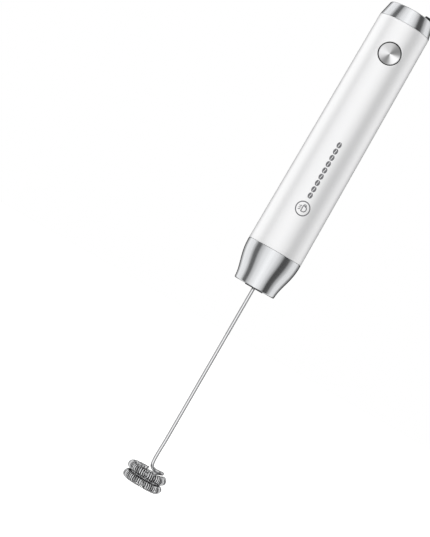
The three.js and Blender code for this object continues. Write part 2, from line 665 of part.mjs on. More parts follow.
function motorCan() {
  const inner = MOTOR_RADIUS - MOTOR_CAN_WALL;
  const outside = motorBlock(MOTOR_RADIUS, MOTOR_HALF_FLAT, canBottom, canTop);
  const bossLow = canBottom - MOTOR_BOSS_HEIGHT;
  const boss = disc(MOTOR_BOSS_RADIUS, bossLow, canBottom + MOTOR_CAN_WALL / 2, SMALL_ROUND);
  const hollow = motorBlock(inner, MOTOR_HALF_FLAT - MOTOR_CAN_WALL, canBottom + MOTOR_CAN_WALL, canTop + 1);
  const seat = disc(bearingSeat, bearingLow - GAP, canTop, SMALL_ROUND);
  const passage = disc(AXLE_RADIUS + GAP, bossLow - 1, canTop, SMALL_ROUND);
  return cut(join(outside, boss), hollow, seat, passage, ...screwHoles(canBottom - 1, canBottom + 2));
}
add("motor_can", motorCan(), "zincedSteel");

function motorBell() {
  const block = motorBlock(MOTOR_RADIUS, MOTOR_HALF_FLAT, bellBottom, bellTop);
  const seat = disc(bearingSeat, bellBottom - 1, bearingHigh + GAP, SMALL_ROUND);
  const slots = screwSides.map(([, side]) => {
    const slot = box(
      TERMINAL_PLACE - GAP, TERMINAL_PLACE + TERMINAL_SHEET + GAP,
      -TERMINAL_HALF_WIDTH - GAP, TERMINAL_HALF_WIDTH + GAP, bellBottom - 1, bellTop + 1);
    return side < 0 ? slot.rotateZ(Math.PI) : slot;
  });
  return cut(block, seat, ...slots);
}
add("motor_end_bell", motorBell(), "blackNylon");

const bearing = (low, high) => {
  return ring(AXLE_RADIUS + BEARING_CLEARANCE, bearingSeat - GAP, low, high, SMALL_ROUND);
};
add("bearing_lower", bearing(bearingLow, bearingLow + BEARING_HEIGHT), "bronze");
add("bearing_upper", bearing(bellBottom, bearingHigh), "bronze");

const magnetOuter = MOTOR_RADIUS - MOTOR_CAN_WALL - GAP;
const magnetBottom = (coreBottom + coreTop - MAGNET_HEIGHT) / 2;
const brushMiddle = (commutatorBottom + commutatorTop) / 2;
const brushStart = COMMUTATOR_RADIUS + BRUSH_OFF;

// Brass strip: a tab above the end bell that runs down inside the motor and turns in to the brush.
function terminal() {
  const low = brushMiddle - TERMINAL_SHEET / 2;
  const outside = TERMINAL_PLACE + TERMINAL_SHEET;
  const strip = (from, to, high) => box(from, to, -TERMINAL_HALF_WIDTH, TERMINAL_HALF_WIDTH, low, high);
  const joined = TERMINAL_PLACE + TERMINAL_SHEET / 2;
  const arm = strip(brushStart + BRUSH_BLOCK + CLOSE, joined, low + TERMINAL_SHEET);
  return join(strip(TERMINAL_PLACE, outside, bellTop + TERMINAL_PROUD), arm);
}

function magnet() {
  const inner = magnetOuter - MAGNET_THICKNESS;
  const low = magnetBottom;
  const arc = sector(inner, magnetOuter, -MAGNET_HALF_ANGLE, MAGNET_HALF_ANGLE, low, low + MAGNET_HEIGHT);
  const flat = MOTOR_HALF_FLAT - MOTOR_CAN_WALL - GAP;
  return common(arc, box(0, MOTOR_RADIUS, -flat, flat, low - 1, low + MAGNET_HEIGHT + 1));
}

function brush() {
  const half = BRUSH_BLOCK / 2;
  return box(brushStart, brushStart + BRUSH_BLOCK, -half, half, brushMiddle - half, brushMiddle + half);
}

function motorScrew(side) {
  const under = mountBottom - CLOSE;
  const end = canBottom + MOTOR_CAN_WALL + MOTOR_SCREW_SHANK;
  const screw = turned([
    [0, under - MOTOR_SCREW_HEAD],
    [MOTOR_SCREW_HEAD, under - MOTOR_SCREW_HEAD],
    [MOTOR_SCREW_HEAD, under],
    [MOTOR_SCREW_SHANK, under],
    [MOTOR_SCREW_SHANK, end],
    [0, end],
  ], 16);
  return screw.translate(side * MOTOR_SCREW_SPREAD, 0, 0);
}

for (const [sideName, side] of screwSides) {
  const turn = side < 0 ? Math.PI : 0;
  add("magnet_" + sideName, magnet().rotateZ(turn), "ferrite");
  add("brush_" + sideName, brush().rotateZ(turn), "carbon");
  add("terminal_" + sideName, terminal().rotateZ(turn), "brass");
  add("motor_screw_" + sideName, motorScrew(side), "zincedSteel");
}

function motorMount() {
  const plate = disc(noseSpigotRadius - GAP, mountBottom, mountTop);
  const bossHole = disc(MOTOR_BOSS_RADIUS + GAP, mountBottom - 1, mountTop + 1, SMALL_ROUND);
  return cut(plate, bossHole, ...screwHoles(mountBottom - 1, mountTop + 1));
}
add("motor_mount", motorMount(), "blackNylon");

// ---------- carrier frame: two half shells with cradle ribs ----------
const frameLow = mountTop + GAP;
const frameHigh = gripTop - CAP_SPIGOT - GAP;
const frameOuter = (z) => gripBore(z) - FRAME_CLEARANCE;

function halfShell(side) {
  const outerLow = frameOuter(frameLow);
  const outerHigh = frameOuter(frameHigh);
  const shell = turned([
    [outerLow, frameLow],
    [outerHigh, frameHigh],
    [outerHigh - FRAME_WALL, frameHigh],
    [outerLow - FRAME_WALL, frameLow],
  ]);
  const reach = 2 * GRIP_LOW_RADIUS;
  const otherHalf = box(-reach, reach, -GAP / 2, reach, frameLow - 1, frameHigh + 1);
  const ribs = [];
  for (let i = 0; i < RIB_COUNT; i += 1) ribs.push(cradleRib(i));
  const turn = side < 0 ? 0 : Math.PI;
  return cut(join(shell, ...ribs), otherHalf).rotateZ(turn);
}

// The space that the frame may fill, clear of the grip's bore.
function insideOfGrip() {
  return turned([
    [0, frameLow], [frameOuter(frameLow), frameLow], [frameOuter(frameHigh), frameHigh], [0, frameHigh],
  ]);
}

// A rib that carries the cell, open beside it where the leads pass.
function cradleRib(i) {
  const low = cellBottom + (CELL_LENGTH * (i + 0.5)) / RIB_COUNT - RIB_THICKNESS / 2 - 1;
  const high = low + RIB_THICKNESS;
  const whole = ring(CELL_RADIUS + GAP, frameOuter(high) - FRAME_WALL / 2, low, high);
  const reach = GRIP_LOW_RADIUS;
  return cut(whole, box(-reach, reach, -LEAD_LANE, LEAD_LANE, low - 1, high + 1));
}

function frameFront() {
  const shell = halfShell(-1);
  const middle = (GUIDE_FRONT + GUIDE_BACK) / 2;
  const window = turnedAlongY([
    [0, -GRIP_LOW_RADIUS],
    [BUTTON_FLANGE_RADIUS + GAP, -GRIP_LOW_RADIUS],
    [BUTTON_FLANGE_RADIUS + GAP, middle],
    [0, middle],
  ], 0, buttonHeight);
  const halfBridge = Math.sqrt((frameOuter(buttonHeight) - FRAME_WALL / 2) ** 2 - GUIDE_FRONT ** 2);
  const low = buttonHeight - GUIDE_HALF_HEIGHT;
  const high = buttonHeight + GUIDE_HALF_HEIGHT;
  const bridge = box(-halfBridge, halfBridge, GUIDE_FRONT, GUIDE_BACK, low, high);
  const rodHole = turnedAlongY([
    [0, -GRIP_LOW_RADIUS], [ROD_RADIUS + GAP, -GRIP_LOW_RADIUS], [ROD_RADIUS + GAP, 0], [0, 0],
  ], 0, buttonHeight);
  return cut(join(cut(shell, window), bridge), rodHole);
}
add("frame_front", frameFront(), "innerPlastic");

const boardFront = SOCKET_HALF_DEPTH + GAP;
const boardBack = boardFront + BOARD_THICKNESS;
const postFront = boardBack + GAP;
const boardScrewHeight = frameHigh - BOARD_SCREW_FROM_TOP;
const screwEnd = postFront + BOARD_SCREW_DEPTH;

function frameRear() {
  const posts = [];
  const pilots = [];
  for (const [, side] of screwSides) {
    const x = side * BOARD_SCREW_SPREAD;
    const reach = Math.sqrt((frameOuter(boardScrewHeight) - FRAME_WALL / 2) ** 2 - x ** 2);
    posts.push(turnedAlongY([[0, postFront], [POST_RADIUS, postFront], [POST_RADIUS, reach], [0, reach]],
      x, boardScrewHeight));
    pilots.push(turnedAlongY([
      [0, postFront - 1],
      [BOARD_SCREW_SHANK + GAP, postFront - 1],
      [BOARD_SCREW_SHANK + GAP, screwEnd + GAP],
      [0, screwEnd + GAP],
    ], x, boardScrewHeight, 12));
  }
  return cut(common(join(halfShell(1), ...posts), insideOfGrip()), ...pilots);
}
add("frame_rear", frameRear(), "innerPlastic");

// ---------- cell ----------
function batteryCell() {
  const shoulder = cellTop - NUB_HEIGHT;
  return turned([
    [0, cellBottom],
    [CELL_RADIUS - CELL_EDGE, cellBottom],
    [CELL_RADIUS, cellBottom + CELL_EDGE],
    [CELL_RADIUS, shoulder - CELL_EDGE],
    [CELL_RADIUS - CELL_EDGE, shoulder],
    [NUB_RADIUS, shoulder],
    [NUB_RADIUS, cellTop],
    [0, cellTop],
  ], 28);
}
add("battery_cell", batteryCell(), "cellWrap");

const topTab = cellTop + GAP;
const bottomTab = cellBottom - GAP - TAB_SHEET;
const tabHalf = 2.4;
const topTabReach = 3.2; // towards -Y, where the red lead is soldered on
const bottomTabReach = 5.0; // towards +X, where the black lead is soldered on
add("battery_tab_top", box(-tabHalf, tabHalf, -topTabReach, tabHalf, topTab, topTab + TAB_SHEET), "nickel");
add("battery_tab_bottom",
  box(-tabHalf, bottomTabReach, -tabHalf, tabHalf, bottomTab, bottomTab + TAB_SHEET), "nickel");

function batteryPad() {
  const fromRib = 2.4; // from the middle of a rib to the pad
  const ribSpacing = CELL_LENGTH / RIB_COUNT;
  const low = cellBottom + ribSpacing / 2 - 1 + fromRib;
  const high = low + ribSpacing - 2 * fromRib;
  return sector(CELL_RADIUS + GAP, frameOuter(high) - FRAME_WALL - GAP, 65, 115, low, high);
}
add("battery_pad", batteryPad(), "foam");

// ---------- board, switch and charging socket ----------
function mainBoard() {
  const plate = box(-BOARD_HALF_WIDTH, BOARD_HALF_WIDTH, boardFront, boardBack, boardBottom, boardTop);
  const holes = screwSides.map(([, side]) => turnedAlongY([
    [0, boardFront - 1], [BOARD_SCREW_SHANK + GAP, boardFront - 1],
    [BOARD_SCREW_SHANK + GAP, boardBack + 1], [0, boardBack + 1],
  ], side * BOARD_SCREW_SPREAD, boardScrewHeight, 12));
  return cut(plate, ...holes);
}
add("main_board", mainBoard(), "boardMask");

for (const [sideName, side] of screwSides) {
  const under = boardFront - CLOSE;
  const screw = turnedAlongY([
    [0, under - BOARD_SCREW_SHANK],
    [BOARD_SCREW_HEAD, under - BOARD_SCREW_SHANK],
    [BOARD_SCREW_HEAD, under],
    [BOARD_SCREW_SHANK, under],
    [BOARD_SCREW_SHANK, screwEnd],
    [0, screwEnd],
  ], side * BOARD_SCREW_SPREAD, boardScrewHeight, 12);
  add("board_screw_" + sideName, screw, "zincedSteel");
}

const chipBelowTop = 9;
const chipHalf = 2;
const chipHeight = 1.55;
const chipLow = boardTop - chipBelowTop;
const chipFoot = boardBack + CLOSE;
add("charge_chip",
  box(-chipHalf, chipHalf, chipFoot, chipFoot + chipHeight, chipLow, chipLow + 2 * chipHalf), "blackNylon");

const socketMouth = stopperBottom - SOCKET_BELOW_STOPPER;
const shellBottom = socketMouth - SOCKET_LENGTH;
function usbShell() {
  const outside = oblong(SOCKET_HALF_WIDTH, SOCKET_HALF_DEPTH, shellBottom, socketMouth);
  const insideWidth = SOCKET_HALF_WIDTH - SOCKET_SHEET;
  const insideDepth = SOCKET_HALF_DEPTH - SOCKET_SHEET;
  return cut(outside, oblong(insideWidth, insideDepth, shellBottom + SOCKET_SHEET, socketMouth + 1));
}
add("usb_shell", usbShell(), "zincedSteel");
const tongueTop = stopperBottom - PLUG_DEPTH - GAP;
add("usb_tongue", box(
  -TONGUE_HALF_WIDTH, TONGUE_HALF_WIDTH, -TONGUE_HALF_THICKNESS, TONGUE_HALF_THICKNESS,
  shellBottom + SOCKET_SHEET + CLOSE, tongueTop), "blackNylon");

const switchBack = boardFront - CLOSE;
const switchFront = switchBack - SWITCH_HEIGHT;
const plungerFront = switchFront - PLUNGER_PROUD;
const plungerBack = switchFront + PLUNGER_SEAT;

function switchBody() {
  const low = buttonHeight - SWITCH_HALF_WIDTH;
  const high = buttonHeight + SWITCH_HALF_WIDTH;
  const block = box(-SWITCH_HALF_WIDTH, SWITCH_HALF_WIDTH, switchFront, switchBack, low, high);
  const well = turnedAlongY([
    [0, switchFront - 1],
    [PLUNGER_RADIUS + GAP, switchFront - 1],
    [PLUNGER_RADIUS + GAP, plungerBack + BUTTON_TRAVEL + GAP],
    [0, plungerBack + BUTTON_TRAVEL + GAP],
  ], 0, buttonHeight);
  return cut(block, well);
}
add("switch_body", switchBody(), "blackNylon");

// ---------- button ----------
function roundBar(radius, front, back, edge = 0) {
  return turnedAlongY([
    [0, front], [radius - edge, front], [radius, front + edge], [radius, back], [0, back],
  ], 0, buttonHeight, ROUND);
}

const buttonFace = -gripRadius(buttonHeight) + BUTTON_SINK;
const buttonBack = buttonFace + BUTTON_THICKNESS;
add("button_cap", roundBar(BUTTON_RADIUS, buttonFace, buttonBack, BUTTON_EDGE), "spunSteel");

// The flange stays behind the edge of the hole where the wall curves back furthest.
const holeEdgeBack = -Math.sqrt(gripBore(buttonHeight) ** 2 - BUTTON_FLANGE_RADIUS ** 2);
const flangeFront = holeEdgeBack + GAP;

function buttonStem() {
  const front = buttonBack + CLOSE;
  const neckRadius = BUTTON_RADIUS - 2 * BUTTON_EDGE;
  const flangeBack = flangeFront + BUTTON_FLANGE;
  return turnedAlongY([
    [0, front],
    [neckRadius, front],
    [neckRadius, flangeFront],
    [BUTTON_FLANGE_RADIUS, flangeFront],
    [BUTTON_FLANGE_RADIUS, flangeBack],
    [ROD_RADIUS, flangeBack],
    [ROD_RADIUS, plungerFront - GAP],
    [0, plungerFront - GAP],
  ], 0, buttonHeight, SMALL_ROUND);
}
add("button_stem", buttonStem(), "blackNylon");
add("switch_plunger", roundBar(PLUNGER_RADIUS, plungerFront, plungerBack), "innerPlastic");

// ---------- leads ----------
const laneX = CELL_RADIUS + 2 * GAP + LEAD_RADIUS + CLOSE;
const laneY = 1.3;
const solderEnd = boardFront - CLOSE;

// A lead's end: it comes to the board square on, at a place x on it.
const toBoard = (x, z) => [[x, solderEnd - 1.6, z], [x, solderEnd, z]];

function lead(points) {
  const places = points.map(([x, y, z]) => new THREE.Vector3(x, y, z));
  const curve = new THREE.CatmullRomCurve3(places, false, "centripetal");
  return swept(curve, LEAD_RADIUS, LEAD_SIDES, LEAD_STEPS);
}

function motorLead(side) {
  const points = [
    [TERMINAL_PLACE + TERMINAL_SHEET + LEAD_RADIUS + 0.2, 0, bellTop + 0.8],
    [TERMINAL_PLACE + TERMINAL_SHEET + LEAD_RADIUS + 0.6, 0.3, bellTop + 2.2],
    [laneX - 0.1, laneY - 0.3, cellBottom + 0.8],
    [laneX, laneY, cellBottom + 5],
    [laneX, laneY, (cellBottom + cellTop) / 2],
    [laneX, laneY, cellTop - 2],
    [laneX - 0.6, laneY - 1.2, boardBottom - 0.5],
    ...toBoard(BOARD_HALF_WIDTH - 1.6, boardBottom + 1.5),
  ];
  return lead(points.map(([x, y, z]) => [side * x, y, z]));
}
add("motor_lead_red", motorLead(1), "redWire");
add("motor_lead_black", motorLead(-1), "blackWire");

add("battery_lead_black", lead([
  [bottomTabReach + GAP + LEAD_RADIUS, -laneY, bottomTab],
  [CELL_RADIUS + 0.1, -laneY, bottomTab - 0.2],
  [laneX, -laneY, cellBottom + 0.5],
  [laneX, -laneY, cellBottom + 5],
  [laneX, -laneY, (cellBottom + cellTop) / 2],
  [laneX, -laneY - 0.4, cellTop - 3],
  [laneX - 2.6, -laneY - 1.4, boardBottom - 1.6],
  ...toBoard(3.2, boardBottom + 1.2),
]), "blackWire");

add("battery_lead_red", lead([
  [0, -topTabReach - GAP - LEAD_RADIUS, topTab + TAB_SHEET / 2],
  [-0.3, -4.5, topTab + 2.0],
  [-1.0, -2.6, boardBottom + 0.9],
  ...toBoard(-1.5, boardBottom + 1.2),
]), "redWire");

export default frother;
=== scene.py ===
# %% [markdown]
# # A hand-held milk frother
# The frother is a white tapered grip with a steel cap at one end and a steel nose at the other. A thin
# wire whisk hangs from the nose: a steel shaft that ends in two rings, each wound with fine spring.
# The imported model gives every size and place. This file gives each visible piece its fine surface, gives
# every finish its own node material, and sets up the studio.

# %% Load the frame
import json
import math

import bmesh
import bpy
from mathutils import Matrix, Vector


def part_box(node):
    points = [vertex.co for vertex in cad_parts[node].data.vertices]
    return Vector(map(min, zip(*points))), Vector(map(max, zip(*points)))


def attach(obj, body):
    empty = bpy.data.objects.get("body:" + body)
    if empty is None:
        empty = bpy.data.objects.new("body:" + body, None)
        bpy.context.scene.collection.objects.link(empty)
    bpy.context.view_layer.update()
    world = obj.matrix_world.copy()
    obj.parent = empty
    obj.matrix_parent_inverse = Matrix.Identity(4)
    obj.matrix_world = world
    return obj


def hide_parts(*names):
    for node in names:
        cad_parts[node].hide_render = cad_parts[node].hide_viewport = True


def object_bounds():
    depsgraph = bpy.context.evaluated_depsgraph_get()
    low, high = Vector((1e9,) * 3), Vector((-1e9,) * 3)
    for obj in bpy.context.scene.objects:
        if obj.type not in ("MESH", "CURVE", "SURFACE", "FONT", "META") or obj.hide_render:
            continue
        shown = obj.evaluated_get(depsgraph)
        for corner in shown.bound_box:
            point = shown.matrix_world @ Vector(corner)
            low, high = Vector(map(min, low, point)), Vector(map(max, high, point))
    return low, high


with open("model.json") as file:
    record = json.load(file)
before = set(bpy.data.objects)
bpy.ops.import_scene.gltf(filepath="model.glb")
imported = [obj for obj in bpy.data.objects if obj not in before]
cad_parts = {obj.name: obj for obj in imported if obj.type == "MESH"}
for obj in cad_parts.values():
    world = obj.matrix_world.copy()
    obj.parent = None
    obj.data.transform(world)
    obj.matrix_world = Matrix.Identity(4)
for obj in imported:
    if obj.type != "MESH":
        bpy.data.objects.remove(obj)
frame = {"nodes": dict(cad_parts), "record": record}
cad_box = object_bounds()
for plain in bpy.data.materials:
    plain.name = "plain_" + plain.name
print("the model's box:", cad_box)

# %% [markdown]
# ## Sizes
# Lengths are in metres, and `MM` turns a maker's millimetres into them. The outside sizes come from the
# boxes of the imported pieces, so the fine pieces always sit where the model's pieces are. Walls, edge
# radii and wire sizes are named here once.

# %% Sizes taken from the frame
MM = 0.001


def low_high(node):
    low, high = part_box(node)
    return Vector(low), Vector(high)


grip_low, grip_high = low_high("grip_tube")
cap_low, cap_high = low_high("top_cap")
nose_low, nose_high = low_high("nose_cone")
button_low, button_high = low_high("button_cap")
collar_low, collar_high = low_high("whisk_collar")
spring_high = low_high("whisk_spring")[1]
lid_low, lid_high = low_high("port_stopper")

# The cap and the nose are pressed on tight, so their lips and the grip's reach into the seams.
SEAM_REACH = 0.11 * MM
grip_low.z -= SEAM_REACH
grip_high.z += SEAM_REACH
cap_low.z -= SEAM_REACH
nose_high.z += SEAM_REACH

GRIP_LOW_RADIUS = grip_high.x
GRIP_HIGH_RADIUS = cap_high.x
GRIP_WALL = 1.5 * MM
BUTTON_RADIUS = button_high.x
BUTTON_HOLE_RADIUS = BUTTON_RADIUS + 0.4 * MM
button_height = (button_low.z + button_high.z) / 2
grip_slope = (GRIP_LOW_RADIUS - GRIP_HIGH_RADIUS) / (cap_low.z - grip_low.z)


def grip_radius(z):
    return GRIP_LOW_RADIUS - grip_slope * (z - grip_low.z)


print("grip radius low and high, mm:", GRIP_LOW_RADIUS / MM, GRIP_HIGH_RADIUS / MM)

# %% [markdown]
# ## Camera
# The frother is seen from the button's side and seems to lean thirty degrees. The camera is rolled for
# that, and the object isn't turned: everything stays upright in the model's own frame. A long lens far
# away keeps the tube's edges nearly parallel.

# %% Camera
LEAN = math.radians(30)
VIEW_DISTANCE = 836.8 * MM
VIEW_SIDE = -19.72 * MM
VIEW_HEIGHT = -79.25 * MM

camera_data = bpy.data.cameras.new("studio_camera")
camera_data.lens = 123.2
camera_data.sensor_width = 36
camera = bpy.data.objects.new("studio_camera", camera_data)
bpy.context.scene.collection.objects.link(camera)
view_right = Vector((math.cos(LEAN), 0, math.sin(LEAN)))
view_up = Vector((-math.sin(LEAN), 0, math.cos(LEAN)))
towards_viewer = view_right.cross(view_up)
turn = Matrix((view_right, view_up, towards_viewer)).transposed().to_4x4()
camera.matrix_world = Matrix.Translation((VIEW_SIDE, -VIEW_DISTANCE, VIEW_HEIGHT)) @ turn
bpy.context.scene.camera = camera

# %% [markdown]
# ## Studio
# The steel gets its look from what it mirrors. In a product studio that is a white tent with a few
# black flags, and each flag shows as one dark stripe along a polished cylinder. The flags are painted
# into the world's light by compass direction, so they are there from every side. Rays that light matt
# surfaces see an even white, and the backdrop itself is white.

# %% World light with black flags
# Compass angle in degrees from the front, positive towards +X, and how bright the tent is there.
TENT = [
    (-180, 0.03), (-160, 0.04), (-144, 0.50), (-128, 1.05), (-96, 0.95), (-84, 0.55),
    (-76, 0.16), (-62, 0.14), (-52, 0.60), (-30, 0.95), (-6, 1.16), (14, 1.0),
    (30, 0.72), (40, 0.42), (46, 0.08), (68, 0.10), (80, 0.50), (100, 0.92),
    (122, 0.90), (138, 0.35), (154, 0.04), (180, 0.03),
]
MATT_LIGHT = 0.82


def background(tree, strength, color=None):
    node = tree.nodes.new("ShaderNodeBackground")
    node.inputs["Strength"].default_value = strength
    if color is None:
        node.inputs["Color"].default_value = (1, 1, 1, 1)
    else:
        tree.links.new(color, node.inputs["Color"])
    return node.outputs[0]


def tent_light(tree):
    """The tent's brightness by compass direction, as a ramp over the full circle."""
    looking = tree.nodes.new("ShaderNodeTexCoord")
    split = tree.nodes.new("ShaderNodeSeparateXYZ")
    front = tree.nodes.new("ShaderNodeMath")
    front.operation = "MULTIPLY"
    front.inputs[1].default_value = -1
    compass = tree.nodes.new("ShaderNodeMath")
    compass.operation = "ARCTAN2"
    share = tree.nodes.new("ShaderNodeMapRange")
    share.inputs["From Min"].default_value = -math.pi
    share.inputs["From Max"].default_value = math.pi
    ramp = tree.nodes.new("ShaderNodeValToRGB")
    ramp.color_ramp.interpolation = "EASE"
    stops = ramp.color_ramp.elements
    for stop, (angle, level) in zip([stops[0], stops[1]], [TENT[0], TENT[-1]]):
        stop.position = angle / 360 + 0.5
        stop.color = (level, level, level, 1)
    for angle, level in TENT[1:-1]:
        stops.new(angle / 360 + 0.5).color = (level, level, level, 1)
    tree.links.new(looking.outputs["Generated"], split.inputs[0])
    tree.links.new(split.outputs["Y"], front.inputs[0])
    tree.links.new(split.outputs["X"], compass.inputs[0])
    tree.links.new(front.outputs[0], compass.inputs[1])
    tree.links.new(compass.outputs[0], share.inputs["Value"])
    tree.links.new(share.outputs["Result"], ramp.inputs["Fac"])
    return ramp.outputs["Color"]


world = bpy.data.worlds.new("studio_tent")
world.use_nodes = True
bpy.context.scene.world = world
tent = world.node_tree
tent.nodes.clear()
ray = tent.nodes.new("ShaderNodeLightPath")
seen = tent.nodes.new("ShaderNodeMixShader")
lit = tent.nodes.new("ShaderNodeMixShader")
world_out = tent.nodes.new("ShaderNodeOutputWorld")
tent.links.new(ray.outputs["Is Diffuse Ray"], lit.inputs["Fac"])
tent.links.new(background(tent, 1.0, tent_light(tent)), lit.inputs[1])
tent.links.new(background(tent, MATT_LIGHT), lit.inputs[2])
tent.links.new(ray.outputs["Is Camera Ray"], seen.inputs["Fac"])
tent.links.new(lit.outputs[0], seen.inputs[1])
tent.links.new(background(tent, 1.0), seen.inputs[2])
tent.links.new(seen.outputs[0], world_out.inputs["Surface"])
bpy.context.scene.view_settings.view_transform = "Standard"

# %% [markdown]
# ## Floor and lamps
# The floor is plain, pale and level. It lies just below the place that the rings reach when the whisk
# is pulled out of the grip, so that it never hides them. Steel would mirror it as one flat white patch
# and lose the flags, and it would light the shell from below, so no piece sees it. It gives off a
# little light of its own, as a backdrop lit from behind does, so that it stays white. Two soft lamps
# add a little direction to the even light: a large one from the upper left, and a weak one behind on
# the right that lifts the far edge.

# %% Floor and lamps
FLOOR_SIZE = 8.0
FLOOR_CLEARANCE = 0.5 * MM
floor_data = bpy.data.meshes.new("floor")
joints = frame["record"]["behaviour"]["joints"]
whisk_travel = next(joint["range_m"][1] for joint in joints if joint["name"] == "whisk_pull")
floor_height = cad_box[0][2] - whisk_travel - FLOOR_CLEARANCE
half_floor = FLOOR_SIZE / 2
floor_corners = [(a * half_floor, b * half_floor) for a, b in ((-1, -1), (1, -1), (1, 1), (-1, 1))]
floor_data.from_pydata([(x, y, floor_height) for x, y in floor_corners], [], [(0, 1, 2, 3)])
floor = bpy.data.objects.new("floor", floor_data)
bpy.context.scene.collection.objects.link(floor)
floor.visible_glossy = False
floor.visible_diffuse = False


def soft_lamp(name, stands_at, aim, size, power):
    """A round soft lamp that faces the aim point and isn't mirrored by the steel."""
    data = bpy.data.lights.new(name, "AREA")
    data.shape = "DISK"
    data.size = size
    data.energy = power
    lamp = bpy.data.objects.new(name, data)
    bpy.context.scene.collection.objects.link(lamp)
    facing = (Vector(stands_at) - Vector(aim)).to_track_quat("Z", "Y").to_matrix().to_4x4()
    lamp.matrix_world = Matrix.Translation(stands_at) @ facing
    lamp.visible_glossy = False
    return lamp


soft_lamp("key_lamp", (-1.2, -0.8, 0.8), (0, 0, 0), 0.9, 9.8)
soft_lamp("edge_lamp", (1.4, 0.5, 0.3), (0, 0, 0), 0.6, 3.0)

# %% [markdown]
# ## Node helpers for finishes
# A finish is never one flat colour: moulded plastic has a faint ripple, drawn wire has lines along it
# and spun steel has rings. All patterns read object coordinates in metres, because each piece's object
# sits at the origin. These helpers add one small part of a material each, so that a finish below reads
# as a short list of what it has.


# %% Node helpers for finishes
def finish(name, color, roughness, metallic=0.0, **fixed):
    """A Principled material. Sizes that are the same all over are set on the shader's own sockets."""
    material = bpy.data.materials.new(name)
    material.use_nodes = True
    shader = material.node_tree.nodes["Principled BSDF"]
    shader.inputs["Base Color"].default_value = (*color, 1)
    shader.inputs["Roughness"].default_value = roughness
    shader.inputs["Metallic"].default_value = metallic
    for socket, value in fixed.items():
        shader.inputs[socket.replace("_", " ")].default_value = value
    return material


def parts_of(material):
    return material.node_tree, material.node_tree.nodes["Principled BSDF"]


def place(material, stretch=(1, 1, 1), centre=(0, 0, 0)):
    """Object coordinates, moved so that centre is at zero and then stretched."""
    tree, _ = parts_of(material)
    source = tree.nodes.new("ShaderNodeTexCoord")
    mapping = tree.nodes.new("ShaderNodeMapping")
    mapping.inputs["Scale"].default_value = stretch
    mapping.inputs["Location"].default_value = [-c * s for c, s in zip(centre, stretch)]
    tree.links.new(source.outputs["Object"], mapping.inputs["Vector"])
    return mapping.outputs["Vector"]


def grain(material, vector, scale, detail=3.0, roughness=0.5):
    tree, _ = parts_of(material)
    noise = tree.nodes.new("ShaderNodeTexNoise")
    noise.inputs["Scale"].default_value = scale
    noise.inputs["Detail"].default_value = detail
    noise.inputs["Roughness"].default_value = roughness
    tree.links.new(vector, noise.inputs["Vector"])
    return noise.outputs["Fac"]


def bands(material, vector, scale, direction="Z", rings=False, distortion=0.0):
    tree, _ = parts_of(material)
    wave = tree.nodes.new("ShaderNodeTexWave")
    wave.wave_type = "RINGS" if rings else "BANDS"
    if rings:
        wave.rings_direction = direction
    else:
        wave.bands_direction = direction
    wave.inputs["Scale"].default_value = scale
    wave.inputs["Distortion"].default_value = distortion
    tree.links.new(vector, wave.inputs["Vector"])
    return wave.outputs["Fac"]


def cells(material, vector, scale, feature="F1"):
    tree, _ = parts_of(material)
    voronoi = tree.nodes.new("ShaderNodeTexVoronoi")
    voronoi.feature = feature
    voronoi.inputs["Scale"].default_value = scale
    tree.links.new(vector, voronoi.inputs["Vector"])
    return voronoi.outputs["Distance"]


def span(material, value, low, high, start=0.0, end=1.0):
    tree, _ = parts_of(material)
    node = tree.nodes.new("ShaderNodeMapRange")
    for socket, number in (("From Min", start), ("From Max", end), ("To Min", low), ("To Max", high)):
        node.inputs[socket].default_value = number
    tree.links.new(value, node.inputs["Value"])
    return node.outputs["Result"]


def vary_color(material, value, first, second, start=0.3, end=0.7):
    tree, shader = parts_of(material)
    ramp = tree.nodes.new("ShaderNodeValToRGB")
    ramp.color_ramp.elements[0].position = start
    ramp.color_ramp.elements[0].color = (*first, 1)
    ramp.color_ramp.elements[1].position = end
    ramp.color_ramp.elements[1].color = (*second, 1)
    tree.links.new(value, ramp.inputs["Fac"])
    tree.links.new(ramp.outputs["Color"], shader.inputs["Base Color"])


def vary_roughness(material, value, low, high):
    tree, shader = parts_of(material)
    tree.links.new(span(material, value, low, high), shader.inputs["Roughness"])


def relief(material, value, depth, strength=1.0):
    """Bump of a depth in metres; a second call adds to the first."""
    tree, shader = parts_of(material)
    bump = tree.nodes.new("ShaderNodeBump")
    bump.inputs["Strength"].default_value = strength
    bump.inputs["Distance"].default_value = depth
    tree.links.new(value, bump.inputs["Height"])
    if shader.inputs["Normal"].is_linked:
        tree.links.new(shader.inputs["Normal"].links[0].from_socket, bump.inputs["Normal"])
    tree.links.new(bump.outputs["Normal"], shader.inputs["Normal"])


def paint_wire_shade(material, hollow, rim_shade_start, rim_shade_level):
    """Paints shade into the base tone: painted shade in hollows of a size, and painted dark edges where the
    round wire turns away from the eye.
    """
    tree, shader = parts_of(material)
    hollow_shade = tree.nodes.new("ShaderNodeAmbientOcclusion")
    hollow_shade.inputs["Distance"].default_value = hollow
    facing = tree.nodes.new("ShaderNodeLayerWeight")
    rim = span(material, facing.outputs["Facing"], 1.0, rim_shade_level, rim_shade_start, min(1.0, rim_shade_start + 0.35))
    hollow_shade_share = span(material, hollow_shade.outputs["AO"], 0.02, 1.0, 0.35, 0.9)
    tone = shader.inputs["Base Color"].links[0].from_socket
    # painted shade: the base tone is scaled down at the wire's edges and in its hollows
    for share in (rim, hollow_shade_share):
        dimmed = tree.nodes.new("ShaderNodeVectorMath")
        dimmed.operation = "SCALE"
        tree.links.new(tone, dimmed.inputs[0])
        tree.links.new(share, dimmed.inputs["Scale"])
        tone = dimmed.outputs[0]
    tree.links.new(tone, shader.inputs["Base Color"])


# %% [markdown]
# ## Floor finish
# A backdrop is rolled paper or painted board, here lit from behind. A very faint mottle keeps it from
# being a flat colour.

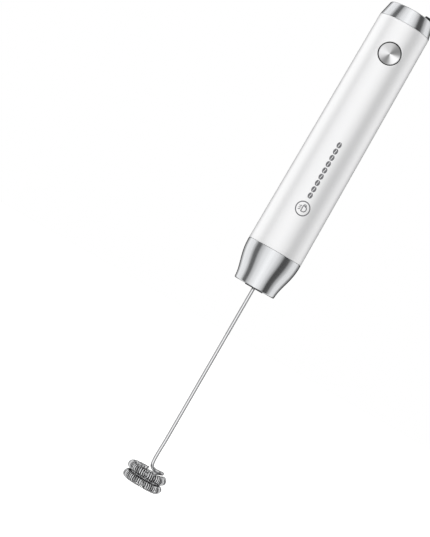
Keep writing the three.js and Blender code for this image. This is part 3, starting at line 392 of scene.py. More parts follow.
# %% Floor finish
OWN_LIGHT = {"Emission_Color": (1, 1, 1, 1), "Emission_Strength": 0.36}
floor_paper = finish("floor_paper", (0.94, 0.94, 0.94), 0.9, **OWN_LIGHT)
vary_color(floor_paper, grain(floor_paper, place(floor_paper), 6.0), (0.93, 0.93, 0.93), (0.95, 0.95, 0.95))
floor_data.materials.append(floor_paper)

# %% [markdown]
# ## White shell
# The grip is moulded, sprayed a pearly white and lacquered. The lacquer gives a blurred mirror image of
# the tent, so the flags show on it as soft grey stripes. A little metallic base carries that blurred
# image, and a faint long ripple and a fine orange peel keep it from looking drawn.

# %% White shell
white_shell = finish("white_shell", (0.93, 0.93, 0.935), 0.3, 0.24, Coat_Weight=0.4, Coat_Roughness=0.06)
shell_ripple = grain(white_shell, place(white_shell, (1, 1, 0.3)), 90)
vary_color(white_shell, shell_ripple, (0.925, 0.926, 0.932), (0.94, 0.94, 0.943))
vary_roughness(white_shell, grain(white_shell, place(white_shell), 240), 0.27, 0.33)
relief(white_shell, grain(white_shell, place(white_shell), 1400, 2), 0.006 * MM)

# %% [markdown]
# ## Steels
# Polished steel is turned on a lathe and buffed, so it keeps hair-fine lines round the axis. Spun
# steel, on the button, has rings round its own centre, and bright and dark wedges that are partly a
# painted reflection in its base tone. Wire is drawn through a die and has lines along it. A thin round
# wire in a white tent shows as a bright line between two dark ones; here the dark edges, and the dark
# hollows of the wound spring, are painted shade in the base tone.


# %% Steels
def turned_steel(name, color, low, high, line_depth):
    steel = finish(name, color, (low + high) / 2, 1.0)
    lines = grain(steel, place(steel, (12, 12, 2600)), 1.0, 4, 0.6)
    vary_roughness(steel, lines, low, high)
    smudge = grain(steel, place(steel), 60, 2)
    vary_color(steel, smudge, [c * 0.965 for c in color], color)
    relief(steel, lines, line_depth)
    return steel


polished_steel = turned_steel("polished_steel", (0.80, 0.81, 0.825), 0.10, 0.2, 0.003 * MM)
zinced_steel = turned_steel("zinced_steel", (0.55, 0.57, 0.58), 0.25, 0.42, 0.006 * MM)

wire_steel = finish("wire_steel", (0.90, 0.90, 0.91), 0.12, 1.0)
wire_lines = grain(wire_steel, place(wire_steel, (3000, 3000, 60)), 1.0, 3)
vary_roughness(wire_steel, wire_lines, 0.08, 0.16)
vary_color(wire_steel, wire_lines, (0.86, 0.87, 0.88), (0.93, 0.93, 0.94))
relief(wire_steel, wire_lines, 0.0006 * MM)
# painted shade: the drawn wire's edges and hollows are darkened in its base tone
paint_wire_shade(wire_steel, 1.2 * MM, 0.22, 0.02)

spring_steel = finish("spring_steel", (0.86, 0.86, 0.87), 0.16, 1.0)
spring_mottle = grain(spring_steel, place(spring_steel), 500, 2)
vary_roughness(spring_steel, spring_mottle, 0.10, 0.22)
vary_color(spring_steel, spring_mottle, (0.80, 0.81, 0.82), (0.92, 0.92, 0.93))
relief(spring_steel, spring_mottle, 0.001 * MM)
# painted shade: the spring's hollows and its wire's edges are darkened in its base tone
paint_wire_shade(spring_steel, 1.6 * MM, 0.34, 0.03)

# %% [markdown]
# ## Spun button steel
# A spun disc is cut in rings, so it throws light only across them. From the front that gives wedges
# that stay put while the disc turns: two light, two dark. The wedges come partly from the rings'
# direction (the piece's own round layout says which way is along a ring), and partly from a painted
# reflection: the base tone is made lighter and darker by angle round the disc.

# %% Spun steel
spun_steel = finish("spun_steel", (0.72, 0.72, 0.73), 0.3, 1.0, Anisotropic=0.75)
spun_tree, spun_shader = parts_of(spun_steel)
layout = spun_tree.nodes.new("ShaderNodeUVMap")
layout.uv_map = "round"
layout_parts = spun_tree.nodes.new("ShaderNodeSeparateXYZ")
spun_tree.links.new(layout.outputs["UV"], layout_parts.inputs[0])
along_ring = spun_tree.nodes.new("ShaderNodeTangent")
along_ring.direction_type = "UV_MAP"
along_ring.uv_map = "round"
spun_tree.links.new(along_ring.outputs["Tangent"], spun_shader.inputs["Tangent"])
# painted reflection: light and dark wedges in the base tone by angle round the disc
painted_sheen = spun_tree.nodes.new("ShaderNodeValToRGB")
painted_sheen.color_ramp.interpolation = "B_SPLINE"
# Share of a turn from the right-hand side, counter-clockwise, and how light the painted reflection makes
# the steel there.
PAINTED_SHEEN_WEDGES = [(0.0, 0.86), (0.03, 0.55), (0.07, 0.27), (0.15, 0.24), (0.22, 0.36), (0.29, 0.74), (0.38, 0.66),
          (0.46, 0.84), (0.56, 0.92), (0.64, 0.66), (0.70, 0.30), (0.76, 0.28), (0.81, 0.50), (0.86, 0.95),
          (0.95, 1.0), (1.0, 0.86)]
painted_sheen_stops = painted_sheen.color_ramp.elements
for stop, (where, level) in zip([painted_sheen_stops[0], painted_sheen_stops[1]], [PAINTED_SHEEN_WEDGES[0], PAINTED_SHEEN_WEDGES[-1]]):
    stop.position = where
    stop.color = (level, level, level * 1.01, 1)
for where, level in PAINTED_SHEEN_WEDGES[1:-1]:
    painted_sheen_stops.new(where).color = (level, level, level * 1.01, 1)
spun_tree.links.new(layout_parts.outputs["X"], painted_sheen.inputs["Fac"])
spun_tree.links.new(painted_sheen.outputs["Color"], spun_shader.inputs["Base Color"])
across_rings = spun_tree.nodes.new("ShaderNodeCombineXYZ")
spun_tree.links.new(layout_parts.outputs["Y"], across_rings.inputs["X"])
spun_lines = grain(spun_steel, across_rings.outputs[0], 90, 4)
vary_roughness(spun_steel, spun_lines, 0.24, 0.42)
relief(spun_steel, spun_lines, 0.006 * MM)

# %% [markdown]
# ## Inner and dark finishes
# The rest are finishes that show when the frother is taken apart or looked into. Moulded plastics
# carry a fine spark-eroded grain, silicone is matt with dust-fine speckle, the core of the motor is a
# stack of thin sheets, and a green board has its solder mask with a faint mottle of cells. Each has a
# base tone, a second tone, a shine, and one pattern with its size.

# %% Table of the other finishes
# name: (first tone, second tone, roughness low, high, metallic, pattern, pattern size, relief in mm)
PLAIN_FINISHES = {
    "black_collar": ((0.010, 0.011, 0.013), (0.018, 0.019, 0.022), 0.30, 0.42, 0.0, "grain", 1500, 0.006),
    "black_silicone": ((0.008, 0.008, 0.010), (0.018, 0.018, 0.020), 0.48, 0.66, 0.0, "grain", 1100, 0.010),
    "inner_plastic": ((0.62, 0.62, 0.60), (0.72, 0.72, 0.70), 0.42, 0.58, 0.0, "grain", 1600, 0.010),
    "black_nylon": ((0.014, 0.014, 0.016), (0.028, 0.028, 0.030), 0.40, 0.58, 0.0, "grain", 1400, 0.010),
    "lamination": ((0.16, 0.16, 0.17), (0.34, 0.34, 0.35), 0.34, 0.50, 1.0, "sheets", 700, 0.030),
    "ferrite": ((0.035, 0.035, 0.040), (0.07, 0.07, 0.075), 0.62, 0.82, 0.0, "grain", 2200, 0.016),
    "bronze": ((0.30, 0.17, 0.06), (0.46, 0.29, 0.13), 0.32, 0.52, 1.0, "grain", 2600, 0.012),
    "carbon": ((0.012, 0.012, 0.012), (0.035, 0.035, 0.036), 0.52, 0.72, 0.0, "grain", 3000, 0.010),
    "brass": ((0.58, 0.40, 0.15), (0.72, 0.53, 0.24), 0.20, 0.36, 1.0, "drawn", 900, 0.004),
    "copper": ((0.36, 0.12, 0.045), (0.62, 0.24, 0.10), 0.22, 0.38, 1.0, "turns", 900, 0.060),
    "cell_wrap": ((0.02, 0.10, 0.30), (0.035, 0.15, 0.40), 0.24, 0.36, 0.0, "drawn", 240, 0.012),
    "nickel": ((0.52, 0.50, 0.46), (0.66, 0.64, 0.60), 0.18, 0.34, 1.0, "drawn", 1200, 0.004),
    "foam": ((0.045, 0.045, 0.05), (0.09, 0.09, 0.10), 0.88, 0.98, 0.0, "cells", 1500, 0.120),
    "board_mask": ((0.008, 0.075, 0.030), (0.014, 0.13, 0.055), 0.22, 0.34, 0.0, "cells", 520, 0.030),
    "red_wire": ((0.42, 0.012, 0.010), (0.52, 0.022, 0.016), 0.32, 0.46, 0.0, "grain", 900, 0.010),
    "black_wire": ((0.010, 0.010, 0.011), (0.022, 0.022, 0.024), 0.32, 0.46, 0.0, "grain", 900, 0.010),
    "print_grey": ((0.13, 0.13, 0.14), (0.18, 0.18, 0.19), 0.38, 0.52, 0.0, "grain", 1900, 0.004),
    "gilt_contact": ((0.78, 0.55, 0.20), (0.90, 0.68, 0.30), 0.16, 0.28, 1.0, "drawn", 1400, 0.003),
}
PATTERNS = {
    "grain": lambda material, size: grain(material, place(material), size, 3),
    "drawn": lambda material, size: grain(material, place(material, (1, 1, 0.05)), size, 3),
    "sheets": lambda material, size: bands(material, place(material), size, "Z", distortion=0.2),
    "turns": lambda material, size: bands(material, place(material), size, "Z", distortion=0.4),
    "cells": lambda material, size: cells(material, place(material), size),
}
SHINING = (white_shell, polished_steel, zinced_steel, wire_steel, spring_steel, spun_steel)
FINISHES = {material.name: material for material in SHINING}
for name, (first, second, low, high, metallic, pattern, size, depth) in PLAIN_FINISHES.items():
    material = finish(name, first, low, metallic)
    value = PATTERNS[pattern](material, size)
    vary_color(material, value, first, second)
    vary_roughness(material, value, low, high)
    relief(material, value, depth * MM)
    FINISHES[name] = material
print("finishes made:", len(FINISHES))

# %% [markdown]
# ## Finishes on the model's own pieces
# The record says which finish each node has. Every node gets it, also those that a finer piece stands
# for later, so nothing in the model is left without one.

# %% Finishes on the nodes
for part in frame["record"]["subparts"]:
    frame["nodes"][part["node"]].material_slots[0].material = FINISHES[part["material_slot"]]

# %% [markdown]
# ## Making a piece
# A piece is a mesh with its place in its points, so its object stays at the origin, unturned. It rides
# on a body of the model, names the finish it has, and names the nodes it stands for.

# %% Piece helpers
SHARP_ANGLE = math.radians(34)


def piece(name, mesh, body, finish_name, *stands_for):
    obj = bpy.data.objects.new(name, mesh)
    bpy.context.scene.collection.objects.link(obj)
    if not mesh.materials:
        mesh.materials.append(FINISHES[finish_name])
    for polygon in mesh.polygons:
        polygon.use_smooth = True
    mesh.set_sharp_from_angle(angle=SHARP_ANGLE)
    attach(obj, body)
    if stands_for:
        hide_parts(*stands_for)
    print(name, "rides on", body, "with", len(mesh.polygons), "faces")
    return obj


def mesh_from(name, points, faces):
    """A mesh with shared points and its faces turned outward."""
    mesh = bpy.data.meshes.new(name)
    mesh.from_pydata([tuple(p) for p in points], [], faces)
    work = bmesh.new()
    work.from_mesh(mesh)
    bmesh.ops.recalc_face_normals(work, faces=work.faces)
    work.to_mesh(mesh)
    work.free()
    return mesh


def join_meshes(name, *meshes):
    points = []
    faces = []
    for mesh in meshes:
        start = len(points)
        points += [v.co.copy() for v in mesh.vertices]
        faces += [[start + i for i in p.vertices] for p in mesh.polygons]
    return mesh_from(name, points, faces)


def eased(section, sizes, steps=5):
    """A closed section with each corner rounded: sizes gives how far back each rounding starts."""
    done = []
    count = len(section)
    for i, (corner, size) in enumerate(zip(section, sizes)):
        if size == 0:
            done.append(corner)
            continue
        here = Vector(corner)
        back = here + (Vector(section[i - 1]) - here).normalized() * size
        on = here + (Vector(section[(i + 1) % count]) - here).normalized() * size
        for k in range(steps + 1):
            t = k / steps
            done.append(tuple(back * (1 - t) ** 2 + here * 2 * t * (1 - t) + on * t * t))
    return done


def turned(name, section, sides=160):
    """A piece turned round the Z axis from its half section of (radius, height) points."""
    points = []
    rings = []
    for radius, height in section:
        if radius < 1e-9:
            rings.append([len(points)] * sides)
            points.append((0, 0, height))
            continue
        rings.append(list(range(len(points), len(points) + sides)))
        for k in range(sides):
            angle = 2 * math.pi * k / sides
            points.append((radius * math.cos(angle), radius * math.sin(angle), height))
    faces = []
    for i, ring in enumerate(rings):
        following = rings[(i + 1) % len(rings)]
        if ring[0] == ring[1] and following[0] == following[1]:
            continue
        for k in range(sides):
            face = [ring[k], ring[(k + 1) % sides], following[(k + 1) % sides], following[k]]
            faces.append(list(dict.fromkeys(face)))
    return mesh_from(name, points, faces)


def prism(name, outline, low, high, edge, steps=3):
    """An upright block with a plan outline and rounded upper and lower edges."""
    middle = sum((Vector(p) for p in outline), Vector((0, 0))) / len(outline)

    def inset(amount):
        shrunk = []
        count = len(outline)
        for i, point in enumerate(outline):
            along = (Vector(outline[(i + 1) % count]) - Vector(outline[i - 1])).normalized()
            inward = Vector((-along.y, along.x))
            if inward.dot(middle - Vector(point)) < 0:
                inward.negate()
            shrunk.append(Vector(point) + inward * amount)
        return shrunk

    levels = []
    for k in range(steps + 1):
        turn_in = math.pi / 2 * k / steps
        levels.append((edge * (1 - math.sin(turn_in)), low + edge * (1 - math.cos(turn_in))))
    levels += [(inwards, low + high - height) for inwards, height in reversed(levels)]
    points = []
    for inwards, height in levels:
        points += [(p.x, p.y, height) for p in inset(inwards)]
    n = len(outline)
    faces = [list(range(n)), list(range((len(levels) - 1) * n, len(levels) * n))]
    for level in range(len(levels) - 1):
        for k in range(n):
            a, b = level * n + k, level * n + (k + 1) % n
            faces.append([a, b, b + n, a + n])
    return mesh_from(name, points, faces)


def oblong(half_length, half_width, middle=0.0, steps=24):
    """Plan outline of an oblong with round ends, along X."""
    flat = half_length - half_width
    outline = []
    for side in (1, -1):
        for k in range(steps + 1):
            angle = math.pi * (k / steps - 0.5) + (0 if side > 0 else math.pi)
            x = middle + side * flat + half_width * math.cos(angle)
            outline.append((x, half_width * math.sin(angle)))
    return outline


def cut_with(name, mesh, cutter):
    """The mesh less the cutter, both closed."""
    base = bpy.data.objects.new(name, mesh)
    tool = bpy.data.objects.new(name + "_cutter", cutter)
    for obj in (base, tool):
        bpy.context.scene.collection.objects.link(obj)
    cut = base.modifiers.new("cut", "BOOLEAN")
    cut.operation = "DIFFERENCE"
    cut.solver = "EXACT"
    cut.object = tool
    made = bpy.data.meshes.new_from_object(base.evaluated_get(bpy.context.evaluated_depsgraph_get()))
    made.name = name
    bpy.data.objects.remove(base)
    bpy.data.objects.remove(tool)
    return made


# %% [markdown]
# ## Grip shell
# The grip is one long tapered tube with a round hole for the button. Its surface is a net of points
# round the tube. Round the hole the net changes to rings that grow out of the circle until they meet
# a square of the net, so the gloss stays smooth right up to the hole. The same net, one wall further
# in, makes the bore, and short walls close the ends and the hole.

# %% Grip shell
PATCH = 8.4 * MM
PATCH_CELLS = 24
PATCH_RINGS = 9
ROWS_BELOW = 36
ROWS_ABOVE = 5
COLUMNS_ROUND = 96
RIM_STEPS = 4
HOLE_EDGE = 0.28 * MM
END_EDGE = 0.16 * MM
EASE = 0.3


def grip_rows():
    """Heights of the net, lowest first, with how far each row is drawn in by the rounded ends."""
    bottom, top = grip_low.z, grip_high.z
    first, last = bottom + END_EDGE, top - END_EDGE
    patch_low, patch_high = button_height - PATCH, button_height + PATCH
    rows = [(bottom, END_EDGE), (bottom + EASE * END_EDGE, EASE * END_EDGE), (first, 0)]
    rows += [(first + (patch_low - first) * k / ROWS_BELOW, 0) for k in range(1, ROWS_BELOW)]
    rows += [(patch_low + 2 * PATCH * k / PATCH_CELLS, 0) for k in range(PATCH_CELLS + 1)]
    rows += [(patch_high + (last - patch_high) * k / ROWS_ABOVE, 0) for k in range(1, ROWS_ABOVE)]
    return rows + [(last, 0), (top - EASE * END_EDGE, EASE * END_EDGE), (top, END_EDGE)]


def grip_columns():
    """Angles of the net from the button's line, and which of them bound the patch."""
    half = math.asin(PATCH / grip_radius(button_height))
    inside = [half * (2 * k / PATCH_CELLS - 1) for k in range(PATCH_CELLS + 1)]
    outside = [half + (2 * math.pi - 2 * half) * k / COLUMNS_ROUND for k in range(1, COLUMNS_ROUND)]
    return inside + outside


def on_grip(across, height, inward):
    """A point of the grip at an angle from the button's line, a distance in from the outside."""
    radius = grip_radius(height) - inward
    return Vector((radius * math.sin(across), -radius * math.cos(across), height))


def grip_skin(points, faces, inward, hole_radius):
    """One skin of the grip. Gives back its end loops and its loop round the hole."""
    rows = grip_rows()
    columns = grip_columns()
    first_patch_row = next(i for i, (z, _) in enumerate(rows) if z > button_height - PATCH - 1e-9)
    last_patch_row = first_patch_row + PATCH_CELLS
    start = len(points)
    for height, drawn_in in rows:
        turn_in = drawn_in if inward == 0 else -drawn_in
        points.extend(on_grip(across, height, inward + turn_in) for across in columns)
    wide = len(columns)

    def net(row, column):
        return start + row * wide + column % wide

    for row in range(len(rows) - 1):
        for column in range(wide):
            if first_patch_row <= row < last_patch_row and column < PATCH_CELLS:
                continue
            lower = [net(row, column), net(row, column + 1)]
            upper = [net(row + 1, column + 1), net(row + 1, column)]
            faces.append(lower + upper)
    border = [net(first_patch_row, c) for c in range(PATCH_CELLS)]
    border += [net(r, PATCH_CELLS) for r in range(first_patch_row, last_patch_row)]
    border += [net(last_patch_row, c) for c in range(PATCH_CELLS, 0, -1)]
    border += [net(r, 0) for r in range(last_patch_row, first_patch_row, -1)]
    outer_loop = border
    for ring in range(1, PATCH_RINGS + 1):
        share = ring / PATCH_RINGS
        share = 1 - (1 - share) ** 1.25
        loop = []
        for index in border:
            edge = points[index]
            angle = math.atan2(edge.z - button_height, edge.x)
            rim = Vector((hole_radius * math.cos(angle), 0, button_height + hole_radius * math.sin(angle)))
            x = edge.x + (rim.x - edge.x) * share
            height = edge.z + (rim.z - edge.z) * share
            across = math.asin(max(-1, min(1, x / (grip_radius(height) - inward))))
            loop.append(len(points))
            points.append(on_grip(across, height, inward))
        count = len(loop)
        for k in range(count):
            faces.append([outer_loop[k], outer_loop[(k + 1) % count], loop[(k + 1) % count], loop[k]])
        outer_loop = loop
    ends = [[net(0, c) for c in range(wide)], [net(len(rows) - 1, c) for c in range(wide)]]
    return ends, outer_loop


def grip_mesh():
    points, faces = [], []
    outer_ends, outer_hole = grip_skin(points, faces, 0, BUTTON_HOLE_RADIUS + HOLE_EDGE)
    inner_ends, inner_hole = grip_skin(points, faces, GRIP_WALL, BUTTON_HOLE_RADIUS)
    for outer, inner in zip(outer_ends, inner_ends):
        for k in range(len(outer)):
            following = (k + 1) % len(outer)
            faces.append([outer[k], outer[following], inner[following], inner[k]])
    loop = outer_hole
    for step in range(1, RIM_STEPS + 1):
        turn_in = math.pi / 2 * step / RIM_STEPS
        radius = BUTTON_HOLE_RADIUS + HOLE_EDGE * (1 - math.sin(turn_in))
        sink = HOLE_EDGE * (1 - math.cos(turn_in))
        deeper = []
        for index in outer_hole:
            rim = points[index]
            angle = math.atan2(rim.z - button_height, rim.x)
            height = button_height + radius * math.sin(angle)
            deeper.append(len(points))
            points.append(Vector((radius * math.cos(angle), rim.y + sink, height)))
        for k in range(len(loop)):
            following = (k + 1) % len(loop)
            faces.append([loop[k], loop[following], deeper[following], deeper[k]])
        loop = deeper
    for k in range(len(loop)):
        following = (k + 1) % len(loop)
        faces.append([loop[k], loop[following], inner_hole[following], inner_hole[k]])
    return mesh_from("grip_shell", points, faces)


piece("grip_shell", grip_mesh(), "handle", "white_shell", "grip_tube")

# %% [markdown]
# ## Cap
# The cap is a shallow steel cup turned from sheet, a little conical, with a small polished radius at
# its rim. Its top has the recess that the stopper lies in, pressed with the same outline as the
# stopper and a thin gap all round.

# %% Cap
CAP_TOP_RADIUS = 11.0 * MM
CAP_WALL = 0.8 * MM
CAP_EDGE = 0.5 * MM
SEAM_EDGE = 0.12 * MM
GAP = 0.3 * MM
STOPPER_HALF_LENGTH = 7.05 * MM
STOPPER_HALF_WIDTH = 3.0 * MM
STOPPER_HINGE = 7.2 * MM
ANCHOR_LENGTH = 1.8 * MM
ANCHOR_HALF_WIDTH = 2.0 * MM
SLOT_INNER_END = -4.0 * MM
CUT_OVER = 1.0 * MM
CUT_EDGE = 0.01 * MM
stopper_middle = STOPPER_HALF_LENGTH + GAP - STOPPER_HINGE
cap_top = cap_high.z

cap_outside = [(0, cap_top), (CAP_TOP_RADIUS, cap_top), (GRIP_HIGH_RADIUS, cap_low.z)]
cap_inside = [(GRIP_HIGH_RADIUS - CAP_WALL, cap_low.z), (CAP_TOP_RADIUS - CAP_WALL, cap_top - CAP_WALL),
              (0, cap_top - CAP_WALL)]
cap_section = eased(cap_outside + cap_inside, [0, CAP_EDGE, SEAM_EDGE, 0, 0, 0])
cut_low, cut_high = cap_top - 2 * CAP_WALL, cap_top + CUT_OVER
bed_outline = oblong(STOPPER_HALF_LENGTH + GAP, STOPPER_HALF_WIDTH + GAP, stopper_middle)
bed = prism("bed", bed_outline, cut_low, cut_high, CUT_EDGE, 1)
slot_low_x = -STOPPER_HINGE - ANCHOR_LENGTH - GAP
slot_half = ANCHOR_HALF_WIDTH + GAP
slot_outline = [(slot_low_x, -slot_half), (SLOT_INNER_END, -slot_half),
                (SLOT_INNER_END, slot_half), (slot_low_x, slot_half)]
anchor_slot = prism("anchor_slot", slot_outline, cut_low, cut_high, CUT_EDGE, 1)
cap_mesh = cut_with("steel_cap", turned("cap_blank", cap_section, 192), bed)
cap_mesh = cut_with("steel_cap", cap_mesh, anchor_slot)
piece("steel_cap", cap_mesh, "handle", "polished_steel", "top_cap")

# %% [markdown]
# ## Nose
# The nose is drawn from steel sheet: it leaves the grip flush, curves in as a gentle S, and ends in a
# flat with a small radius round the mouth that the whisk comes out of.

# %% Nose
NOSE_END_RADIUS = 10.3 * MM
NOSE_WALL = 0.9 * MM
NOSE_EDGE = 0.75 * MM
NOSE_EASE = 1.2
NOSE_MOUTH = 4.9 * MM
NOSE_ROWS = 56


def nose_radius(z):
    share = (nose_high.z - z) / (nose_high.z - nose_low.z)
    turn_in = (1 - math.cos(math.pi * share ** NOSE_EASE)) / 2
    return GRIP_LOW_RADIUS - (GRIP_LOW_RADIUS - NOSE_END_RADIUS) * turn_in


def nose_curve(inward, low):
    heights = [nose_high.z + (low - nose_high.z) * k / NOSE_ROWS for k in range(NOSE_ROWS + 1)]
    return [(nose_radius(z) - inward, z) for z in heights]


outside = nose_curve(0, nose_low.z + NOSE_EDGE)
inside = nose_curve(NOSE_WALL, nose_low.z + NOSE_WALL)[::-1]
end_corner = (outside[-1][0], nose_low.z)
lower = eased([outside[-1], end_corner, (NOSE_MOUTH, nose_low.z), (NOSE_MOUTH, nose_low.z + NOSE_WALL)],
              [0, NOSE_EDGE * 0.98, 0.2 * MM, 0], 7)
seam = eased([inside[-1], (GRIP_LOW_RADIUS, nose_high.z), outside[1]], [0, SEAM_EDGE, 0])
nose_section = seam[1:-1] + outside[1:] + lower[1:] + inside
piece("steel_nose", turned("steel_nose", nose_section, 192), "handle", "polished_steel", "nose_cone")

# %% [markdown]
# ## Button
# The button is a spun steel disc, a little dished, with a rounded edge. Its round layout gives each
# point its share of a turn and its distance from the middle, which the spun finish needs.

# %% Button
BUTTON_EDGE = 0.3 * MM
BUTTON_DISH = 0.16 * MM
BUTTON_SIDES = 128
BUTTON_RINGS = 22
CENTRE_POINT = 0.0001 * MM

button_face = button_low.y
button_section = []
for k in range(BUTTON_RINGS + 1):
    radius = (BUTTON_RADIUS - BUTTON_EDGE) * k / BUTTON_RINGS
    dish = BUTTON_DISH * (1 - (radius / (BUTTON_RADIUS - BUTTON_EDGE)) ** 2)
    button_section.append((radius, button_face + dish))
for k in range(1, 6):
    turn_in = math.pi / 2 * k / 5
    button_section.append((BUTTON_RADIUS - BUTTON_EDGE * (1 - math.sin(turn_in)),
                           button_face + BUTTON_EDGE * (1 - math.cos(turn_in))))
button_section += [(BUTTON_RADIUS, button_high.y), (0, button_high.y)]
button_mesh = turned("button_disc", button_section, BUTTON_SIDES)
button_mesh.transform(Matrix(((1, 0, 0, 0), (0, 0, 1, 0), (0, 1, 0, button_height), (0, 0, 0, 1))))
button_mesh.flip_normals()
round_layout = button_mesh.uv_layers.new(name="round")
for polygon in button_mesh.polygons:
    middle = polygon.center
    middle_share = math.atan2(middle.z - button_height, middle.x) / (2 * math.pi) % 1
    for loop in polygon.loop_indices:
        point = button_mesh.vertices[button_mesh.loops[loop].vertex_index].co
        radius = math.hypot(point.x, point.z - button_height)
        share = middle_share
        if radius > CENTRE_POINT:
            share = math.atan2(point.z - button_height, point.x) / (2 * math.pi) % 1
        if share - middle_share > 0.5:
            share -= 1
        if middle_share - share > 0.5:
            share += 1
        round_layout.data[loop].uv = (share, radius / BUTTON_RADIUS)
piece("button_disc", button_mesh, "button", "spun_steel", "button_cap")

# %% [markdown]
# ## Stopper and its anchor
# The charging socket is closed by a soft silicone stopper: a long lid that lies in the cap's recess, a
# short plug, and a thick pull tab that stands over the cap's edge. It bends at a thin line next to its
# anchor, which stays in the cap.

# %% Stopper and anchor
PLUG_HALF_WIDTH = 3.6 * MM
PLUG_HALF_DEPTH = 1.0 * MM
TAB_START = 5.9 * MM
TAB_HALF_WIDTH = 2.2 * MM
SILICONE_EDGE = 0.22 * MM
LID_THICKNESS = 1.5 * MM
PLUG_RIB = 0.12 * MM
PLUG_RIB_LOW = 0.45 * MM
PLUG_RIB_HIGH = 0.75 * MM
NECK_MIDDLE = 7.2 * MM
NECK_HALF = 1.0 * MM
TAB_INNER_ROUND = 0.5 * MM
TAB_OUTER_ROUND = 0.9 * MM
RIB_HEIGHT = 0.1 * MM
RIBS = 3
RIB_HALF = 0.24 * MM

lid_bottom = cap_top - LID_THICKNESS
lid_outline = oblong(STOPPER_HALF_LENGTH, STOPPER_HALF_WIDTH, stopper_middle)
lid = prism("lid", lid_outline, lid_bottom, cap_top, SILICONE_EDGE)
plug_outline = oblong(PLUG_HALF_WIDTH, PLUG_HALF_DEPTH)
plug = prism("plug", plug_outline, lid_low.z, lid_bottom + SILICONE_EDGE, SILICONE_EDGE)
plug_rib = prism("plug_rib", oblong(PLUG_HALF_WIDTH + PLUG_RIB, PLUG_HALF_DEPTH + PLUG_RIB),
                 lid_low.z + PLUG_RIB_LOW, lid_low.z + PLUG_RIB_HIGH, 0.1 * MM)
neck_outline = oblong(NECK_HALF, 0.99 * NECK_HALF, NECK_MIDDLE, 12)
tab_neck = prism("tab_neck", neck_outline, cap_top - 0.5 * MM, cap_top + 2 * GAP, 0.05 * MM, 1)
tab_length = lid_high.x - TAB_START
tab_corners = [(TAB_START, -TAB_HALF_WIDTH), (lid_high.x, -TAB_HALF_WIDTH),
               (lid_high.x, TAB_HALF_WIDTH), (TAB_START, TAB_HALF_WIDTH)]
tab_rounds = [TAB_INNER_ROUND, TAB_OUTER_ROUND, TAB_OUTER_ROUND, TAB_INNER_ROUND]
tab = prism("tab", eased(tab_corners, tab_rounds), cap_top + GAP, lid_high.z - RIB_HEIGHT, SILICONE_EDGE)
rib_half_width = TAB_HALF_WIDTH - 0.6 * MM
round_plan = [(math.cos(2 * math.pi * i / 24), math.sin(2 * math.pi * i / 24)) for i in range(24)]
tab_ribs = []
for k in range(RIBS):
    x = TAB_START + tab_length * (k + 1) / (RIBS + 1)
    rib_plan = [(x + a * RIB_HALF, b * rib_half_width) for a, b in round_plan]
    tab_ribs.append(prism("rib", rib_plan, lid_high.z - 0.16 * MM, lid_high.z, 0.06 * MM, 2))
piece("silicone_stopper", join_meshes("silicone_stopper", lid, plug, plug_rib, tab_neck, tab, *tab_ribs),
      "stopper", "black_silicone", "port_stopper")

anchor_low_x = -STOPPER_HINGE - ANCHOR_LENGTH
anchor_high_x = -STOPPER_HINGE - 0.15 * MM
anchor_outline = eased(
    [(anchor_low_x, -ANCHOR_HALF_WIDTH), (anchor_high_x, -ANCHOR_HALF_WIDTH),
     (anchor_high_x, ANCHOR_HALF_WIDTH), (anchor_low_x, ANCHOR_HALF_WIDTH)],
    [0.4 * MM, 0.05 * MM, 0.05 * MM, 0.4 * MM])
piece("silicone_anchor", prism("silicone_anchor", anchor_outline, lid_bottom, cap_top, SILICONE_EDGE),
      "handle", "black_silicone", "stopper_anchor")

# %% [markdown]
# ## Whisk collar
# The whisk plugs in with a black moulded collar. Only its lower rim shows in the nose's mouth. Above
# it a stem with one flat goes up into the drive socket, and shows once the whisk is pulled.

# %% Whisk collar
STEM_RADIUS = 2.9 * MM
STEM_FLAT = 2.2 * MM
COLLAR_HEIGHT = 7.0 * MM
COLLAR_EDGE = 0.35 * MM
SHAFT_RADIUS = 0.8 * MM
SHAFT_SEAT = 14.4 * MM
SHAFT_ROOM = 0.04 * MM

collar_radius = collar_high.x
shoulder = collar_low.z + COLLAR_HEIGHT
bore = SHAFT_RADIUS + SHAFT_ROOM
collar_section = eased(
    [(bore, collar_low.z), (collar_radius, collar_low.z), (collar_radius, shoulder), (bore, shoulder)],
    [0.15 * MM, COLLAR_EDGE, COLLAR_EDGE, 0])
collar_head = turned("collar_head", collar_section, 96)
flat_half = math.acos(STEM_FLAT / STEM_RADIUS)
stem_outline = []
for k in range(73):
    angle = math.pi / 2 + flat_half + (2 * math.pi - 2 * flat_half) * k / 72
    stem_outline.append((STEM_RADIUS * math.cos(angle), STEM_RADIUS * math.sin(angle)))
stem = prism("stem", stem_outline, shoulder - 0.02 * MM, collar_high.z, 0.3 * MM)
collar_mesh = join_meshes("moulded_collar", collar_head, stem)
piece("moulded_collar", collar_mesh, "whisk", "black_collar", "whisk_collar")

# %% [markdown]
# ## Whisk wire
# One steel wire makes the shaft and the rings. It comes straight down the axis, turns out over the
# upper ring, and goes round twice, stepping down once. The line below is that wire's middle line.

# %% Middle line of the wire
RING_RADIUS = 7.75 * MM
RING_PITCH = 4.5 * MM
RING_START = 80
RING_STEP = 80
RING_LAST = 716
SLEEVE_RADIUS = 2.05 * MM
LEG_OVER_SLEEVE = 0.55 * MM
LEG_ANGLE = 20
BEND_RADIUS = 2.6 * MM
upper_ring = spring_high.z - SLEEVE_RADIUS


def ring_point(degrees, lift=0.0):
    share = min(1, max(0, (degrees - 360) / RING_STEP))
    height = upper_ring + lift - RING_PITCH * share * share * (3 - 2 * share)
    angle = math.radians(degrees)
    return Vector((RING_RADIUS * math.cos(angle), RING_RADIUS * math.sin(angle), height))


def outward(radius, degrees, height):
    angle = math.radians(degrees)
    return Vector((radius * math.cos(angle), radius * math.sin(angle), height))


